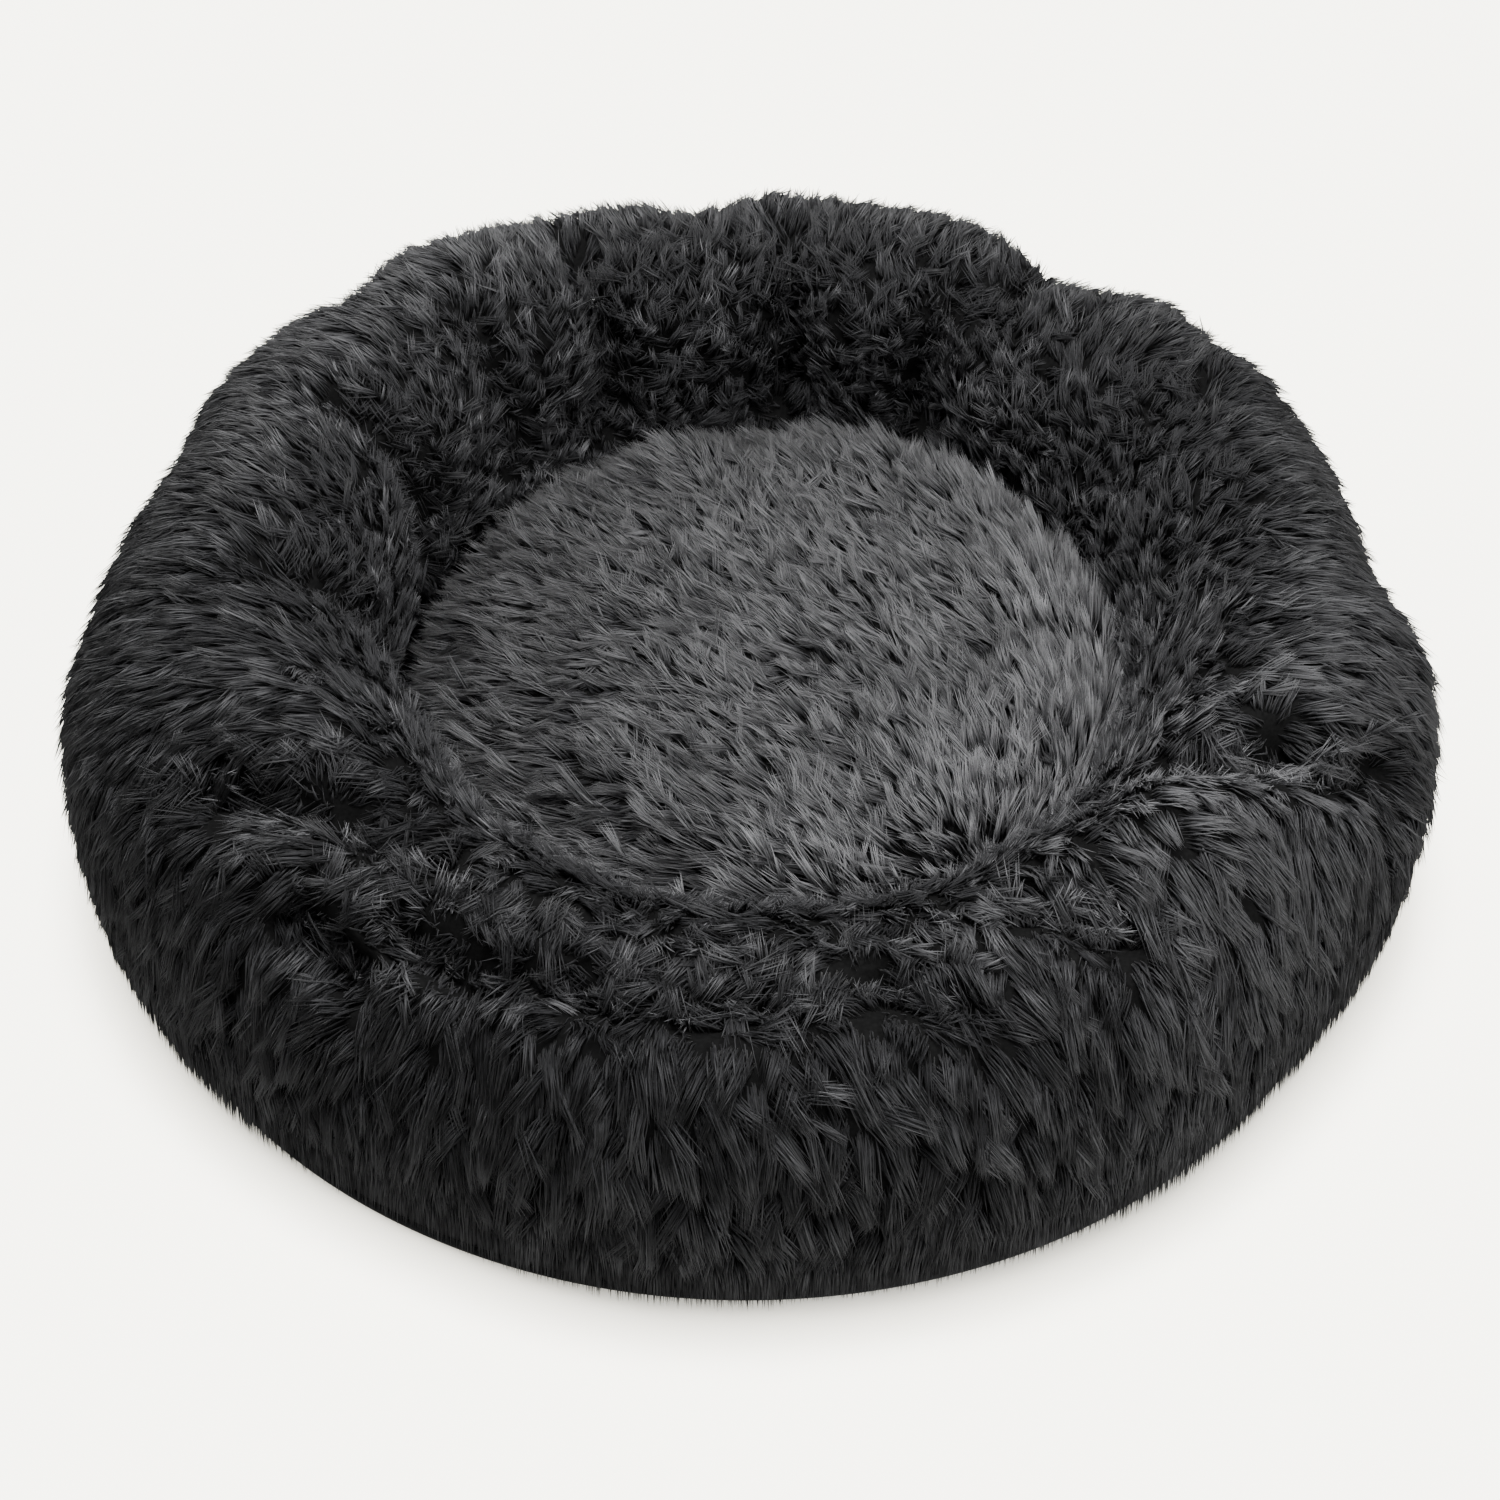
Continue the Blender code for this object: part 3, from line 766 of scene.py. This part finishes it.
def keep_inside(points):
    """Draws points that reach too far out or up back to the limits, and holds them over the hem."""
    points[:, :2] *= np.minimum(1.0, REACH_LIMIT / np.maximum(from_axis(points), 1e-9))[:, None]
    points[:, 2] = np.clip(points[:, 2], lowest_fur(azimuth(points)), CREST_LIMIT)
    return points


def grow_rim_fur():
    """Every strand of the ring: its root, start, knee, tip, width and tone, and the random source."""
    rng = np.random.default_rng(11)
    roots, normals = scatter(rim_bag, rim_grows, RIM_DENSITY, rng)
    count, height, angle = len(roots), roots[:, 2], azimuth(roots)
    nap = rim_nap(roots, normals)
    inner = fall(from_axis(roots - WELL_CENTRE), 0.285, 0.03)
    low = (1.0 - inner) * fall(height, 0.085, 0.04)
    creased = np.zeros(count)
    for fold, (_, _, _, reach) in zip(folds, FOLDS):
        creased = np.maximum(creased, near_fold(roots, fold, reach * 0.9))
    front = (1.0 - inner) * bump(turned_from(angle, -90.0), 62.0) * rise(height, 0.04, 0.03)

    # The pile is shorter in the well and in the folds, and the front is gathered into bigger locks.
    length = PILE_LENGTH * (1 - low) + LOW_PILE_LENGTH * low
    length *= 1.0 - 0.25 * inner
    length *= 1.0 - 0.35 * creased
    lift = 0.24 + 0.42 * inner - 0.12 * low
    unruly = 0.20 + 0.46 * inner + 0.16 * front
    coarse = 1.1 + 0.8 * front
    start, knee, tip, lock_of, off = comb(roots, normals, nap, lift, length, rng, unruly, coarse)

    # The fur lies down under its own weight, and the lowest hangs.
    tip[:, 2] -= 0.006 * (1 - inner) * fall(height, 0.19, 0.03)
    knee = settle(knee, rim_bag, (0.0095 + 0.003 * inner) * rng.uniform(0.7, 1.1, count))
    height_left = 0.0100 + 0.006 * inner + 0.004 * front
    tip = settle(tip, rim_bag, height_left * (rng.uniform(0.45, 1.25, count) - 0.40 * off))
    out = unit(roots * FLAT)
    drop = (length * rng.uniform(0.75, 1.1, count))[:, None]
    hang = (low * 0.9)[:, None]
    knee += (roots + (out * 0.35 - UP * 0.30) * drop - knee) * hang
    tip += (roots + (out * 0.30 - UP * 0.95) * drop - tip) * hang

    lock_tone = rng.normal(0.60, 0.22, lock_of.max() + 1)
    # Random patches of tone, and strands off their lock's middle darker: painted shade between the locks.
    patch = 0.24 * soft_noise(roots, 0.05, 3) - 0.45 * off
    # Fur on the well side is darker: painted shade in the well.
    tone = lock_tone[lock_of] + patch + rng.normal(0.0, 0.16, count) - 0.50 * inner
    # Painted light and shade: the ring's fur is made paler where light falls on it and darker where it is
    # shaded.
    for place, amount, reach in PAINTED_LIGHT_AND_SHADE:
        tone += amount * near_place(roots, place, reach)
    # Fur in the folds is darker: painted shade in the creases.
    tone -= 0.65 * creased
    width = STRAND_HALF_WIDTH * rng.uniform(0.75, 1.25, count)
    return roots, start, keep_inside(knee), keep_inside(tip), width, tone.clip(0.0, 1.0), rng


def lay_pile(name, pile, chosen, finish):
    """The chosen strands of a pile as one piece."""
    _, start, knee, tip, width, tone, rng = pile
    piece = lay_strands(name, start[chosen], knee[chosen], tip[chosen], width[chosen], tone[chosen], rng)
    piece.data.materials.append(finish)
    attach(piece, "bed")
    print(name, int(chosen.sum()), "strands")


rim_pile = grow_rim_fur()
print("ring strands:", len(rim_pile[0]))
PIECES_A_PANEL = {"front": 3, "right": 2, "back": 2, "left": 2}
angle = azimuth(rim_pile[0])
for panel, (first_degree, last_degree) in PANELS.items():
    share = (last_degree - first_degree) / PIECES_A_PANEL[panel]
    for number in range(PIECES_A_PANEL[panel]):
        chosen = (angle - first_degree - share * number) % 360.0 < share
        lay_pile(f"rim_{panel}_pile_{number + 1}", rim_pile, chosen, rim_fur)

# %% Fur on the cushion
CUSHION_DENSITY = 390000
CUSHION_PILE = 0.025


def grow_cushion_fur():
    """Every strand of the cushion, in the same way."""
    rng = np.random.default_rng(12)
    roots, normals = scatter(cushion_bag, lambda p: p[:, 2] > 0.070, CUSHION_DENSITY, rng)
    count, local = len(roots), roots - WELL_CENTRE
    heading = np.radians(128.0 + 150.0 * np.clip(-local[:, 0] - 0.6 * local[:, 1], 0.0, 0.25))
    heading += 0.55 * soft_noise(roots, 0.07, 5)
    flat = np.stack([np.cos(heading), np.sin(heading), np.zeros(count)], axis=1)
    nap = unit(flush(flat, normals))
    edge = rise(from_axis(local), 0.13, 0.06)
    outwards = unit(local * FLAT)
    agree = np.clip((nap * outwards).sum(axis=1) + 0.3, 0.0, 1.0)
    nap = unit(nap + outwards * (edge * agree * 0.8)[:, None])
    nap = turn_about(nap, normals, 0.5 * soft_noise(roots, 0.030, 10) + 0.8 * soft_noise(roots, 0.012, 13))
    start, knee, tip, lock_of, off = comb(
        roots, normals, nap, 0.40 + 0.30 * edge, CUSHION_PILE * (1.0 + 0.30 * edge), rng,
        np.full(count, 0.34), np.full(count, 1.0),
    )
    lock_tone = rng.normal(0.62, 0.22, lock_of.max() + 1)
    # Strands off their lock's middle are darker: painted shade between the locks.
    tone = lock_tone[lock_of] + 0.26 * soft_noise(roots, 0.045, 6) + rng.normal(0, 0.14, count) - 0.45 * off
    width = STRAND_HALF_WIDTH * rng.uniform(0.60, 1.0, count)
    return roots, start, knee, tip, width, tone.clip(0.0, 1.0), rng


cushion_pile = grow_cushion_fur()
on_left = cushion_pile[0][:, 0] < WELL_CENTRE[0]
lay_pile("center_left_pile", cushion_pile, on_left, center_fur)
lay_pile("center_right_pile", cushion_pile, ~on_left, center_fur)

# %% [markdown]
# ## Under the fur
#
# The fur is knitted into a dark backing cloth. Inside that lies the removable insert: a thin pale
# cover full of loose fibre. Each layer is the inflated bag again, a little further in.

# %% Backing cloth, inner covers and fibre
def layer_inside(bag, name, depth, lumps=0.0):
    """A copy of a bag, this far inside it."""
    ob = new_object(name, bag.data.copy())
    points, normals = get_points(ob), get_points(ob, "normal")
    inwards = np.full(len(points), depth)
    if lumps:
        inwards += lumps * (1.0 + soft_noise(points, 0.03, 9))
    set_points(ob, points - normals * inwards[:, None])
    ob.data.shade_smooth()
    return ob


def cloth_finish(name, dark, light, scale, roughness=0.9):
    mat, tree, shader = new_material(name, Roughness=roughness, Specular_IOR_Level=0.1)
    colour = ramp(tree, object_noise(tree, scale, 4.0), [(0.3, dark), (0.7, light)])
    tree.links.new(colour, shader.inputs["Base Color"])
    return mat


backing_finish = cloth_finish("fur_backing_finish", (0.002, 0.002, 0.002), (0.006, 0.006, 0.006), 500.0)
cover_finish = cloth_finish("inner_cover_finish", (0.55, 0.55, 0.53), (0.68, 0.68, 0.66), 900.0)
fibre_finish = cloth_finish("fibre_finish", (0.72, 0.72, 0.70), (0.86, 0.86, 0.84), 120.0, 1.0)

COVER_DEPTH, FIBRE_DEPTH, FIBRE_LUMPS = 0.0025, 0.0045, 0.0012
for bag, part, panels in (
    (rim_bag, "rim", [f"rim_panel_{panel}" for panel in PANELS]),
    (cushion_bag, "cushion", ["center_panel"]),
):
    cover = layer_inside(bag, f"{part}_inner_cover", COVER_DEPTH)
    fibre = layer_inside(bag, f"{part}_fibre", FIBRE_DEPTH, FIBRE_LUMPS)
    for piece, finish, slot, nodes in (
        (bag, backing_finish, "center_fur" if part == "cushion" else "rim_fur", panels),
        (cover, cover_finish, "liner_cloth", [f"{part}_liner"]),
        (fibre, fibre_finish, "fibre_filling", [f"{part}_filling"]),
    ):
        piece.data.materials.clear()
        piece.data.materials.append(finish)
        piece.data.shade_smooth()
        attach(piece, "bed")
        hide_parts(*nodes)

# %% [markdown]
# ## The base
#
# The base is a dish of tight woven cloth: a round middle piece, a wide ring round it, and a low
# upturned side that the fur is sewn to. One spun profile makes it, because every part of it is
# round. The opening for the zip is cut from the side, and Solidify gives the cloth its thickness.

# %% Spin helpers
def spin_outline(name, outline, first_degree, sweep, steps, closed):
    """A piece turned from an outline of (radius, height) points. An open sweep gets its ends closed."""
    full = sweep > 359.9
    bm = bmesh.new()
    verts = [bm.verts.new((r, 0.0, z)) for r, z in outline]
    pairs = zip(verts, verts[1:] + verts[:1]) if closed else zip(verts, verts[1:])
    edges = [bm.edges.new(pair) for pair in pairs]
    start = Quaternion((0, 0, 1), math.radians(first_degree)).to_matrix()
    bmesh.ops.rotate(bm, verts=verts, cent=(0, 0, 0), matrix=start)
    bmesh.ops.spin(
        bm, geom=verts + edges, cent=(0, 0, 0), axis=(0, 0, 1), angle=math.radians(sweep),
        steps=steps, use_merge=full, use_duplicate=False,
    )
    bmesh.ops.remove_doubles(bm, verts=bm.verts, dist=1e-6)
    if closed and not full:
        bmesh.ops.holes_fill(bm, edges=[e for e in bm.edges if e.is_boundary], sides=0)
    bmesh.ops.recalc_face_normals(bm, faces=bm.faces)
    return smooth_piece(name, bm)


def smooth_piece(name, bm):
    """A smoothly shaded object from a bmesh."""
    ob = from_bmesh(name, bm)
    ob.data.shade_smooth()
    return ob


def dress(ob, finish, replaced=()):
    """Gives a piece its finish and its place in the table."""
    ob.data.materials.clear()
    ob.data.materials.append(finish)
    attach(ob, "bed")
    if replaced:
        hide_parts(*replaced)
    print(ob.name, len(ob.data.polygons), "faces")


# %% Base cloth
BASE_RADIUS = 0.3664
BASE_HEIGHT = 0.0300
BASE_CORNER = 0.004
MIDDLE_RADIUS = 0.190
CLOTH_THICKNESS = 0.0015
ZIP_Z = 0.016
WINDOW_HALF = 0.0075
ZIP_START, ZIP_END = 60.0, 165.0
RING_STEPS = 360

corner = [
    (BASE_RADIUS - BASE_CORNER + BASE_CORNER * math.sin(t), BASE_CORNER - BASE_CORNER * math.cos(t))
    for t in (math.radians(d) for d in (0, 22.5, 45, 67.5, 90))
]
base_outline = (
    [(r, 0.0) for r in (0.0, 0.05, 0.10, 0.15, MIDDLE_RADIUS - 0.002)]
    + [(MIDDLE_RADIUS, 0.0007)]
    + [(r, 0.0) for r in (MIDDLE_RADIUS + 0.002, 0.24, 0.29, 0.33)]
    + corner
    + [(BASE_RADIUS, z) for z in (ZIP_Z - WINDOW_HALF, 0.012, ZIP_Z, 0.020)]
    + [(BASE_RADIUS, z) for z in (ZIP_Z + WINDOW_HALF, BASE_HEIGHT)]
)
base_cloth = spin_outline("base_cloth", base_outline, 0.0, 360.0, RING_STEPS, False)



def in_window(face):
    middle = face.calc_center_median()
    degrees = math.degrees(math.atan2(middle.y, middle.x)) % 360.0
    on_side = middle.xy.length > BASE_RADIUS - 0.001 and abs(middle.z - ZIP_Z) < WINDOW_HALF
    return on_side and ZIP_START < degrees < ZIP_END


with editing(base_cloth) as bm:
    bmesh.ops.delete(bm, geom=[face for face in bm.faces if in_window(face)], context="FACES")

# The side isn't drum tight: the seam puckers it a little.
PUCKER = 0.0005
points = get_points(base_cloth)
on_side = rise(points[:, 2], 0.004, 0.004)
turn = np.arctan2(points[:, 1], points[:, 0])
ripple = np.sin(turn * 130.0 + 3.0 * np.sin(turn * 17.0)) * 0.5 + 0.5
points[:, :2] *= (1.0 - PUCKER * ripple * on_side / BASE_RADIUS)[:, None]
set_points(base_cloth, points)
thicken(base_cloth, CLOTH_THICKNESS)


# %% [markdown]
# A tight weave is a cross-hatch of fine ribs, so waves along all three axes, added up, make it at any
# slope. Underneath, small raised grips keep the bed from sliding: an even pattern of round cells.

# %% Base cloth finish
def woven_finish(name, dark, light, pitch, roughness, grips=False):
    """A plain weave on the piece's own coordinates, with worn, uneven colour."""
    mat, tree, shader = new_material(name, Sheen_Weight=0.10, Sheen_Roughness=0.4)
    where = node(tree, "ShaderNodeTexCoord").outputs["Object"]
    rib_scale = 0.314 / pitch
    ribs = None
    for direction in ("X", "Y", "Z"):
        wave = node(
            tree, "ShaderNodeTexWave",
            {"Vector": where, "Scale": rib_scale, "Distortion": 0.6, "Detail": 1.0},
            wave_type="BANDS", bands_direction=direction,
        ).outputs["Fac"]
        ribs = wave if ribs is None else calc(tree, "ADD", ribs, wave)
    grain = object_noise(tree, 35.0, 5.0)
    colour = ramp(tree, calc(tree, "MULTIPLY_ADD", ribs, 0.22, grain), [(0.45, dark), (0.875, light)])
    height = ribs
    if grips:
        dots = node(
            tree, "ShaderNodeTexVoronoi", {"Vector": where, "Scale": 110.0, "Randomness": 0.0},
            voronoi_dimensions="2D", feature="F1",
        ).outputs["Distance"]
        dot = ramp(tree, dots, [(0.17, (1.0, 1.0, 1.0)), (0.21, (0.0, 0.0, 0.0))])
        level = node(tree, "ShaderNodeSeparateXYZ", {"Vector": where}).outputs["Z"]
        shown = calc(tree, "MULTIPLY", dot, calc(tree, "LESS_THAN", level, 0.0006))
        colour = blend(tree, shown, colour, (0.055, 0.055, 0.060, 1.0))
        height = calc(tree, "MULTIPLY_ADD", shown, 2.5, ribs)
    tree.links.new(colour, shader.inputs["Base Color"])
    rough = spread_value(tree, grain, roughness - 0.10, roughness + 0.08)
    tree.links.new(rough, shader.inputs["Roughness"])
    raise_bumps(tree, shader, height, 0.5, 0.0003)
    return mat


base_finish = woven_finish(
    "base_cloth_finish", (0.010, 0.010, 0.012), (0.026, 0.026, 0.029), 0.0011, 0.72, grips=True
)
dress(base_cloth, base_finish, ["base_panel"])


# %% [markdown]
# ## Edging, label and zip
#
# Round things that run along the base are spun too. Their cloth pattern follows the piece, so each
# gets a map in metres: along the edge and across it.

# %% A cloth map in metres
CLOTH_MAP = "cloth"


def map_cloth(ob, across):
    """Maps a piece round the bed: u runs along it, and v is across(points), both in metres."""
    points = get_points(ob)
    corner_of = np.empty(len(ob.data.loops), dtype=np.int32)
    ob.data.loops.foreach_get("vertex_index", corner_of)
    face_of = np.repeat(np.arange(len(ob.data.polygons)), [p.loop_total for p in ob.data.polygons])
    turn = np.arctan2(points[:, 1], points[:, 0])[corner_of]
    first = np.full(len(ob.data.polygons), -10.0)
    np.maximum.at(first, face_of, turn)
    turn = np.where(first[face_of] - turn > math.pi, turn + 2 * math.pi, turn)
    along = turn * from_axis(points).mean()
    layer = ob.data.uv_layers.new(name=CLOTH_MAP)
    layer.data.foreach_set("uv", np.stack([along, across(points)[corner_of]], axis=1).ravel())


def ribbed_finish(name, dark, light, pitch, fold, roughness, sheen=0.15):
    """Slanting ribs that turn back every fold across: a herringbone, or a twill if fold is wide."""
    mat, tree, shader = new_material(name, Roughness=roughness, Sheen_Weight=sheen)
    where = node(tree, "ShaderNodeUVMap", uv_map=CLOTH_MAP).outputs["UV"]
    parts = node(tree, "ShaderNodeSeparateXYZ", {"Vector": where})
    back_and_forth = calc(tree, "PINGPONG", parts.outputs["Y"], fold)
    slant = calc(tree, "ADD", parts.outputs["X"], back_and_forth)
    rib = calc(tree, "SINE", calc(tree, "MULTIPLY", slant, 2 * math.pi / pitch))
    mixed = calc(tree, "MULTIPLY_ADD", rib, 0.25, object_noise(tree, 90.0, 4.0))
    tree.links.new(ramp(tree, mixed, [(0.25, dark), (0.80, light)]), shader.inputs["Base Color"])
    raise_bumps(tree, shader, rib, 0.6, 0.00015)
    return mat


# %% Piping round the lower edge
PIPING_RADIUS, PIPING_CENTRE, PIPING_Z = 0.0023, 0.3684, 0.0023
PIPING_SIDES = 12

piping_outline = [
    (PIPING_CENTRE + PIPING_RADIUS * math.cos(t), PIPING_Z + PIPING_RADIUS * math.sin(t))
    for t in (2 * math.pi * i / PIPING_SIDES for i in range(PIPING_SIDES))
]
piping = spin_outline("edge_piping", piping_outline, 0.0, 360.0, RING_STEPS, True)


def around_piping(points):
    out = from_axis(points) - PIPING_CENTRE
    return np.abs(np.arctan2(points[:, 2] - PIPING_Z, out)) * PIPING_RADIUS


map_cloth(piping, around_piping)
piping_finish = ribbed_finish(
    "piping_finish", (0.008, 0.008, 0.009), (0.024, 0.024, 0.026),
    pitch=0.0011, fold=0.02, roughness=0.78,
)
dress(piping, piping_finish, ["base_piping"])

# %% Zip tapes
TAPE_INNER, TAPE_OUTER, TAPE_BEAD = 0.3656, 0.3662, 0.3664
TAPE_NEAR, TAPE_FAR = 0.0010, 0.0072        # distances of the tape's edges from the zip's line
END_GAP = 0.1

tape_finish = ribbed_finish(
    "zip_tape_finish", (0.010, 0.010, 0.011), (0.034, 0.034, 0.037),
    pitch=0.0008, fold=0.0011, roughness=0.82,
)
for side, sign in (("lower", -1), ("upper", 1)):
    tape_outline = [
        (TAPE_INNER, ZIP_Z + sign * TAPE_NEAR), (TAPE_BEAD, ZIP_Z + sign * TAPE_NEAR),
        (TAPE_BEAD, ZIP_Z + sign * (TAPE_NEAR + 0.0009)), (TAPE_OUTER, ZIP_Z + sign * (TAPE_NEAR + 0.0013)),
        (TAPE_OUTER, ZIP_Z + sign * 0.0045), (TAPE_OUTER, ZIP_Z + sign * TAPE_FAR),
        (TAPE_INNER, ZIP_Z + sign * TAPE_FAR), (TAPE_INNER, ZIP_Z + sign * 0.0045),
    ]
    sweep = ZIP_END - ZIP_START - 2 * END_GAP
    tape = spin_outline(f"zip_{side}_tape", tape_outline, ZIP_START + END_GAP, sweep, 210, True)
    map_cloth(tape, lambda points: points[:, 2])
    dress(tape, tape_finish, [f"zip_tape_{side}"])


# %% [markdown]
# A coil zip's teeth are loops of one stiff thread. At this size each loop reads as a short bar with a
# fatter head, so one bar is shaped and a spin copies it along the tape. The upper row stands half a
# pitch along, and so the heads lie between each other.

# %% Copies round the bed
def copies_round(name, shape, first_degree, last_degree, pitch_radius, pitch):
    """shape(bm) makes one piece on the +X side; copies of it stand every pitch metres round the bed."""
    bm = bmesh.new()
    shape(bm)
    sweep = math.radians(last_degree - first_degree)
    count = int(sweep * pitch_radius / pitch)
    start = Quaternion((0, 0, 1), math.radians(first_degree)).to_matrix()
    bmesh.ops.rotate(bm, verts=bm.verts, cent=(0, 0, 0), matrix=start)
    bmesh.ops.spin(
        bm, geom=bm.verts[:] + bm.edges[:] + bm.faces[:], cent=(0, 0, 0), axis=(0, 0, 1),
        angle=sweep * (count - 1) / count, steps=count - 1, use_merge=False, use_duplicate=True,
    )
    bmesh.ops.recalc_face_normals(bm, faces=bm.faces)
    print(name, count, "copies")
    return bm


# %% Zip teeth
TOOTH_PITCH = 0.0015
TOOTH_RADIUS = 0.3676
TOOTH_HALF_WIDTH, TOOTH_HALF_DEPTH = 0.00040, 0.00090


def tooth_shape(sign):
    def shape(bm):
        bmesh.ops.create_cone(bm, cap_ends=True, segments=8, radius1=1.0, radius2=1.0, depth=1.0)
        rims = [e for e in bm.edges if abs(e.verts[0].co.z - e.verts[1].co.z) < 1e-6]
        bmesh.ops.bevel(
            bm, geom=rims, offset=0.25, affect="EDGES", segments=1, profile=0.5, material=-1,
            clamp_overlap=True,
        )
        head = [v for v in bm.verts if v.co.z * sign < -0.2]
        bmesh.ops.scale(bm, vec=(1.05, 1.30, 1.0), verts=head)
        size = (TOOTH_HALF_DEPTH, TOOTH_HALF_WIDTH, 0.0036)
        bmesh.ops.scale(bm, vec=size, verts=bm.verts)
        bmesh.ops.translate(bm, vec=(TOOTH_RADIUS, 0, ZIP_Z + sign * 0.0014), verts=bm.verts)
    return shape


coil_finish, coil_tree, coil_shader = new_material("zip_coil_finish", Specular_IOR_Level=0.5)
coil_grain = object_noise(coil_tree, 600.0, 3.0)
coil_colour = ramp(coil_tree, coil_grain, [(0.3, (0.014, 0.014, 0.016)), (0.7, (0.035, 0.035, 0.038))])
coil_tree.links.new(coil_colour, coil_shader.inputs["Base Color"])
coil_tree.links.new(spread_value(coil_tree, coil_grain, 0.28, 0.45), coil_shader.inputs["Roughness"])

half_pitch = math.degrees(TOOTH_PITCH / 2 / TOOTH_RADIUS)
for side, sign, shift in (("lower", -1, 0.0), ("upper", 1, half_pitch)):
    first = ZIP_START + 0.95 + shift
    bm = copies_round(
        f"zip_{side}_coil", tooth_shape(sign), first, ZIP_END - 0.95 + shift, TOOTH_RADIUS, TOOTH_PITCH
    )
    coil = smooth_piece(f"zip_{side}_coil", bm)
    dress(coil, coil_finish, [f"zip_teeth_{side}"])

# %% Stitching
STITCH_LENGTH, STITCH_PITCH, STITCH_RADIUS = 0.0024, 0.0033, 0.00022


def stitch_shape(radius, height):
    """One thread stitch lying along the edge, its ends dipping into the cloth."""
    def shape(bm):
        bmesh.ops.create_cone(bm, cap_ends=True, segments=6, radius1=1.0, radius2=1.0, depth=1.0)
        long_edges = [e for e in bm.edges if abs(e.verts[0].co.z - e.verts[1].co.z) > 0.5]
        bmesh.ops.subdivide_edges(bm, edges=long_edges, cuts=2, use_grid_fill=True)
        ends = [v for v in bm.verts if abs(v.co.z) > 0.4]
        bmesh.ops.scale(bm, vec=(0.5, 0.5, 1.0), verts=ends)
        bmesh.ops.scale(bm, vec=(STITCH_RADIUS, STITCH_RADIUS, STITCH_LENGTH), verts=bm.verts)
        lie_down = Quaternion((1, 0, 0), math.radians(90)).to_matrix()
        bmesh.ops.rotate(bm, verts=bm.verts, cent=(0, 0, 0), matrix=lie_down)
        bmesh.ops.translate(bm, vec=(radius, 0, height), verts=bm.verts)
    return shape


thread_finish, thread_tree, thread_shader = new_material("thread_finish", Roughness=0.6, Sheen_Weight=0.2)
thread_ply = object_noise(thread_tree, 1500.0, 2.0)
thread_stops = [(0.35, (0.020, 0.020, 0.022)), (0.65, (0.050, 0.050, 0.054))]
thread_colour = ramp(thread_tree, thread_ply, thread_stops)
thread_tree.links.new(thread_colour, thread_shader.inputs["Base Color"])
STITCH_ROWS = (     # name, radius, height, from, to
    ("hem", BASE_RADIUS, 0.0272, 0.0, 360.0),
    ("zip_low", BASE_RADIUS, 0.0073, ZIP_START, ZIP_END),
    ("zip_high", BASE_RADIUS, 0.0246, ZIP_START, ZIP_END),
    ("middle_inner", MIDDLE_RADIUS - 0.0035, 0.00005, 0.0, 360.0),
    ("middle_outer", MIDDLE_RADIUS + 0.0035, 0.00005, 0.0, 360.0),
)
for row, radius, height, first, last in STITCH_ROWS:
    bm = copies_round(f"stitches_{row}", stitch_shape(radius, height), first, last, radius, STITCH_PITCH)
    dress(smooth_piece(f"stitches_{row}", bm), thread_finish)

# %% [markdown]
# The care label is a short ribbon caught in the seam. A grid bent round the side makes it, waved a
# little at its free edge. It carries no text.

# %% Care label
LABEL_DEGREES, LABEL_WIDTH, LABEL_DROP, LABEL_TOP = 48.0, 0.020, 0.0230, 0.0299
LABEL_RADIUS, LABEL_THICKNESS = 0.3677, 0.0005

bm = bmesh.new()
bmesh.ops.create_grid(bm, x_segments=24, y_segments=24, size=0.5)
label = smooth_piece("care_ribbon", bm)
points = get_points(label)
across, down = points[:, 0] * LABEL_WIDTH, (0.5 - points[:, 1])
wave = 0.0004 * np.sin(points[:, 0] * 7.0 + 1.0) * down ** 2
turn = math.radians(LABEL_DEGREES) + across / LABEL_RADIUS
radius = LABEL_RADIUS + wave
height = LABEL_TOP - down * LABEL_DROP
set_points(label, np.stack([radius * np.cos(turn), radius * np.sin(turn), height], axis=1))
with editing(label) as bm:
    if sum(face.normal.xy.dot(face.calc_center_median().xy) for face in bm.faces) < 0:
        bmesh.ops.reverse_faces(bm, faces=bm.faces)
map_cloth(label, lambda points: points[:, 2])
thicken(label, LABEL_THICKNESS)
label_finish = ribbed_finish(
    "care_ribbon_finish", (0.48, 0.48, 0.46), (0.66, 0.66, 0.64),
    pitch=0.0007, fold=0.02, roughness=0.55, sheen=0.3,
)
dress(label, label_finish, ["care_label"])

# %% [markdown]
# The slider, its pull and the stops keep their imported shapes, which are already round-edged. They
# get a dark lacquer on metal that is rubbed brighter in patches.

# %% Lacquered metal
metal_finish, metal_tree, metal_shader = new_material("zip_metal_finish", Metallic=0.9)
rubbed = object_noise(metal_tree, 260.0, 6.0, Roughness=0.7)
metal_colour = ramp(metal_tree, rubbed, [(0.40, (0.050, 0.050, 0.055)), (0.68, (0.22, 0.22, 0.23))])
metal_tree.links.new(metal_colour, metal_shader.inputs["Base Color"])
metal_tree.links.new(spread_value(metal_tree, rubbed, 0.24, 0.50), metal_shader.inputs["Roughness"])
raise_bumps(metal_tree, metal_shader, object_noise(metal_tree, 1800.0, 3.0), 0.15, 0.00005)
for name in ("zip_slider", "zip_pull", "zip_stop_open", "zip_stop_closed"):
    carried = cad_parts[name]
    carried.data.materials.clear()
    carried.data.materials.append(metal_finish)
    print(name, "lacquered")

# %% Count the triangles
total = 0
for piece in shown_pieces():
    piece.data.calc_loop_triangles()
    total += len(piece.data.loop_triangles)
print("all pieces", total, "triangles")
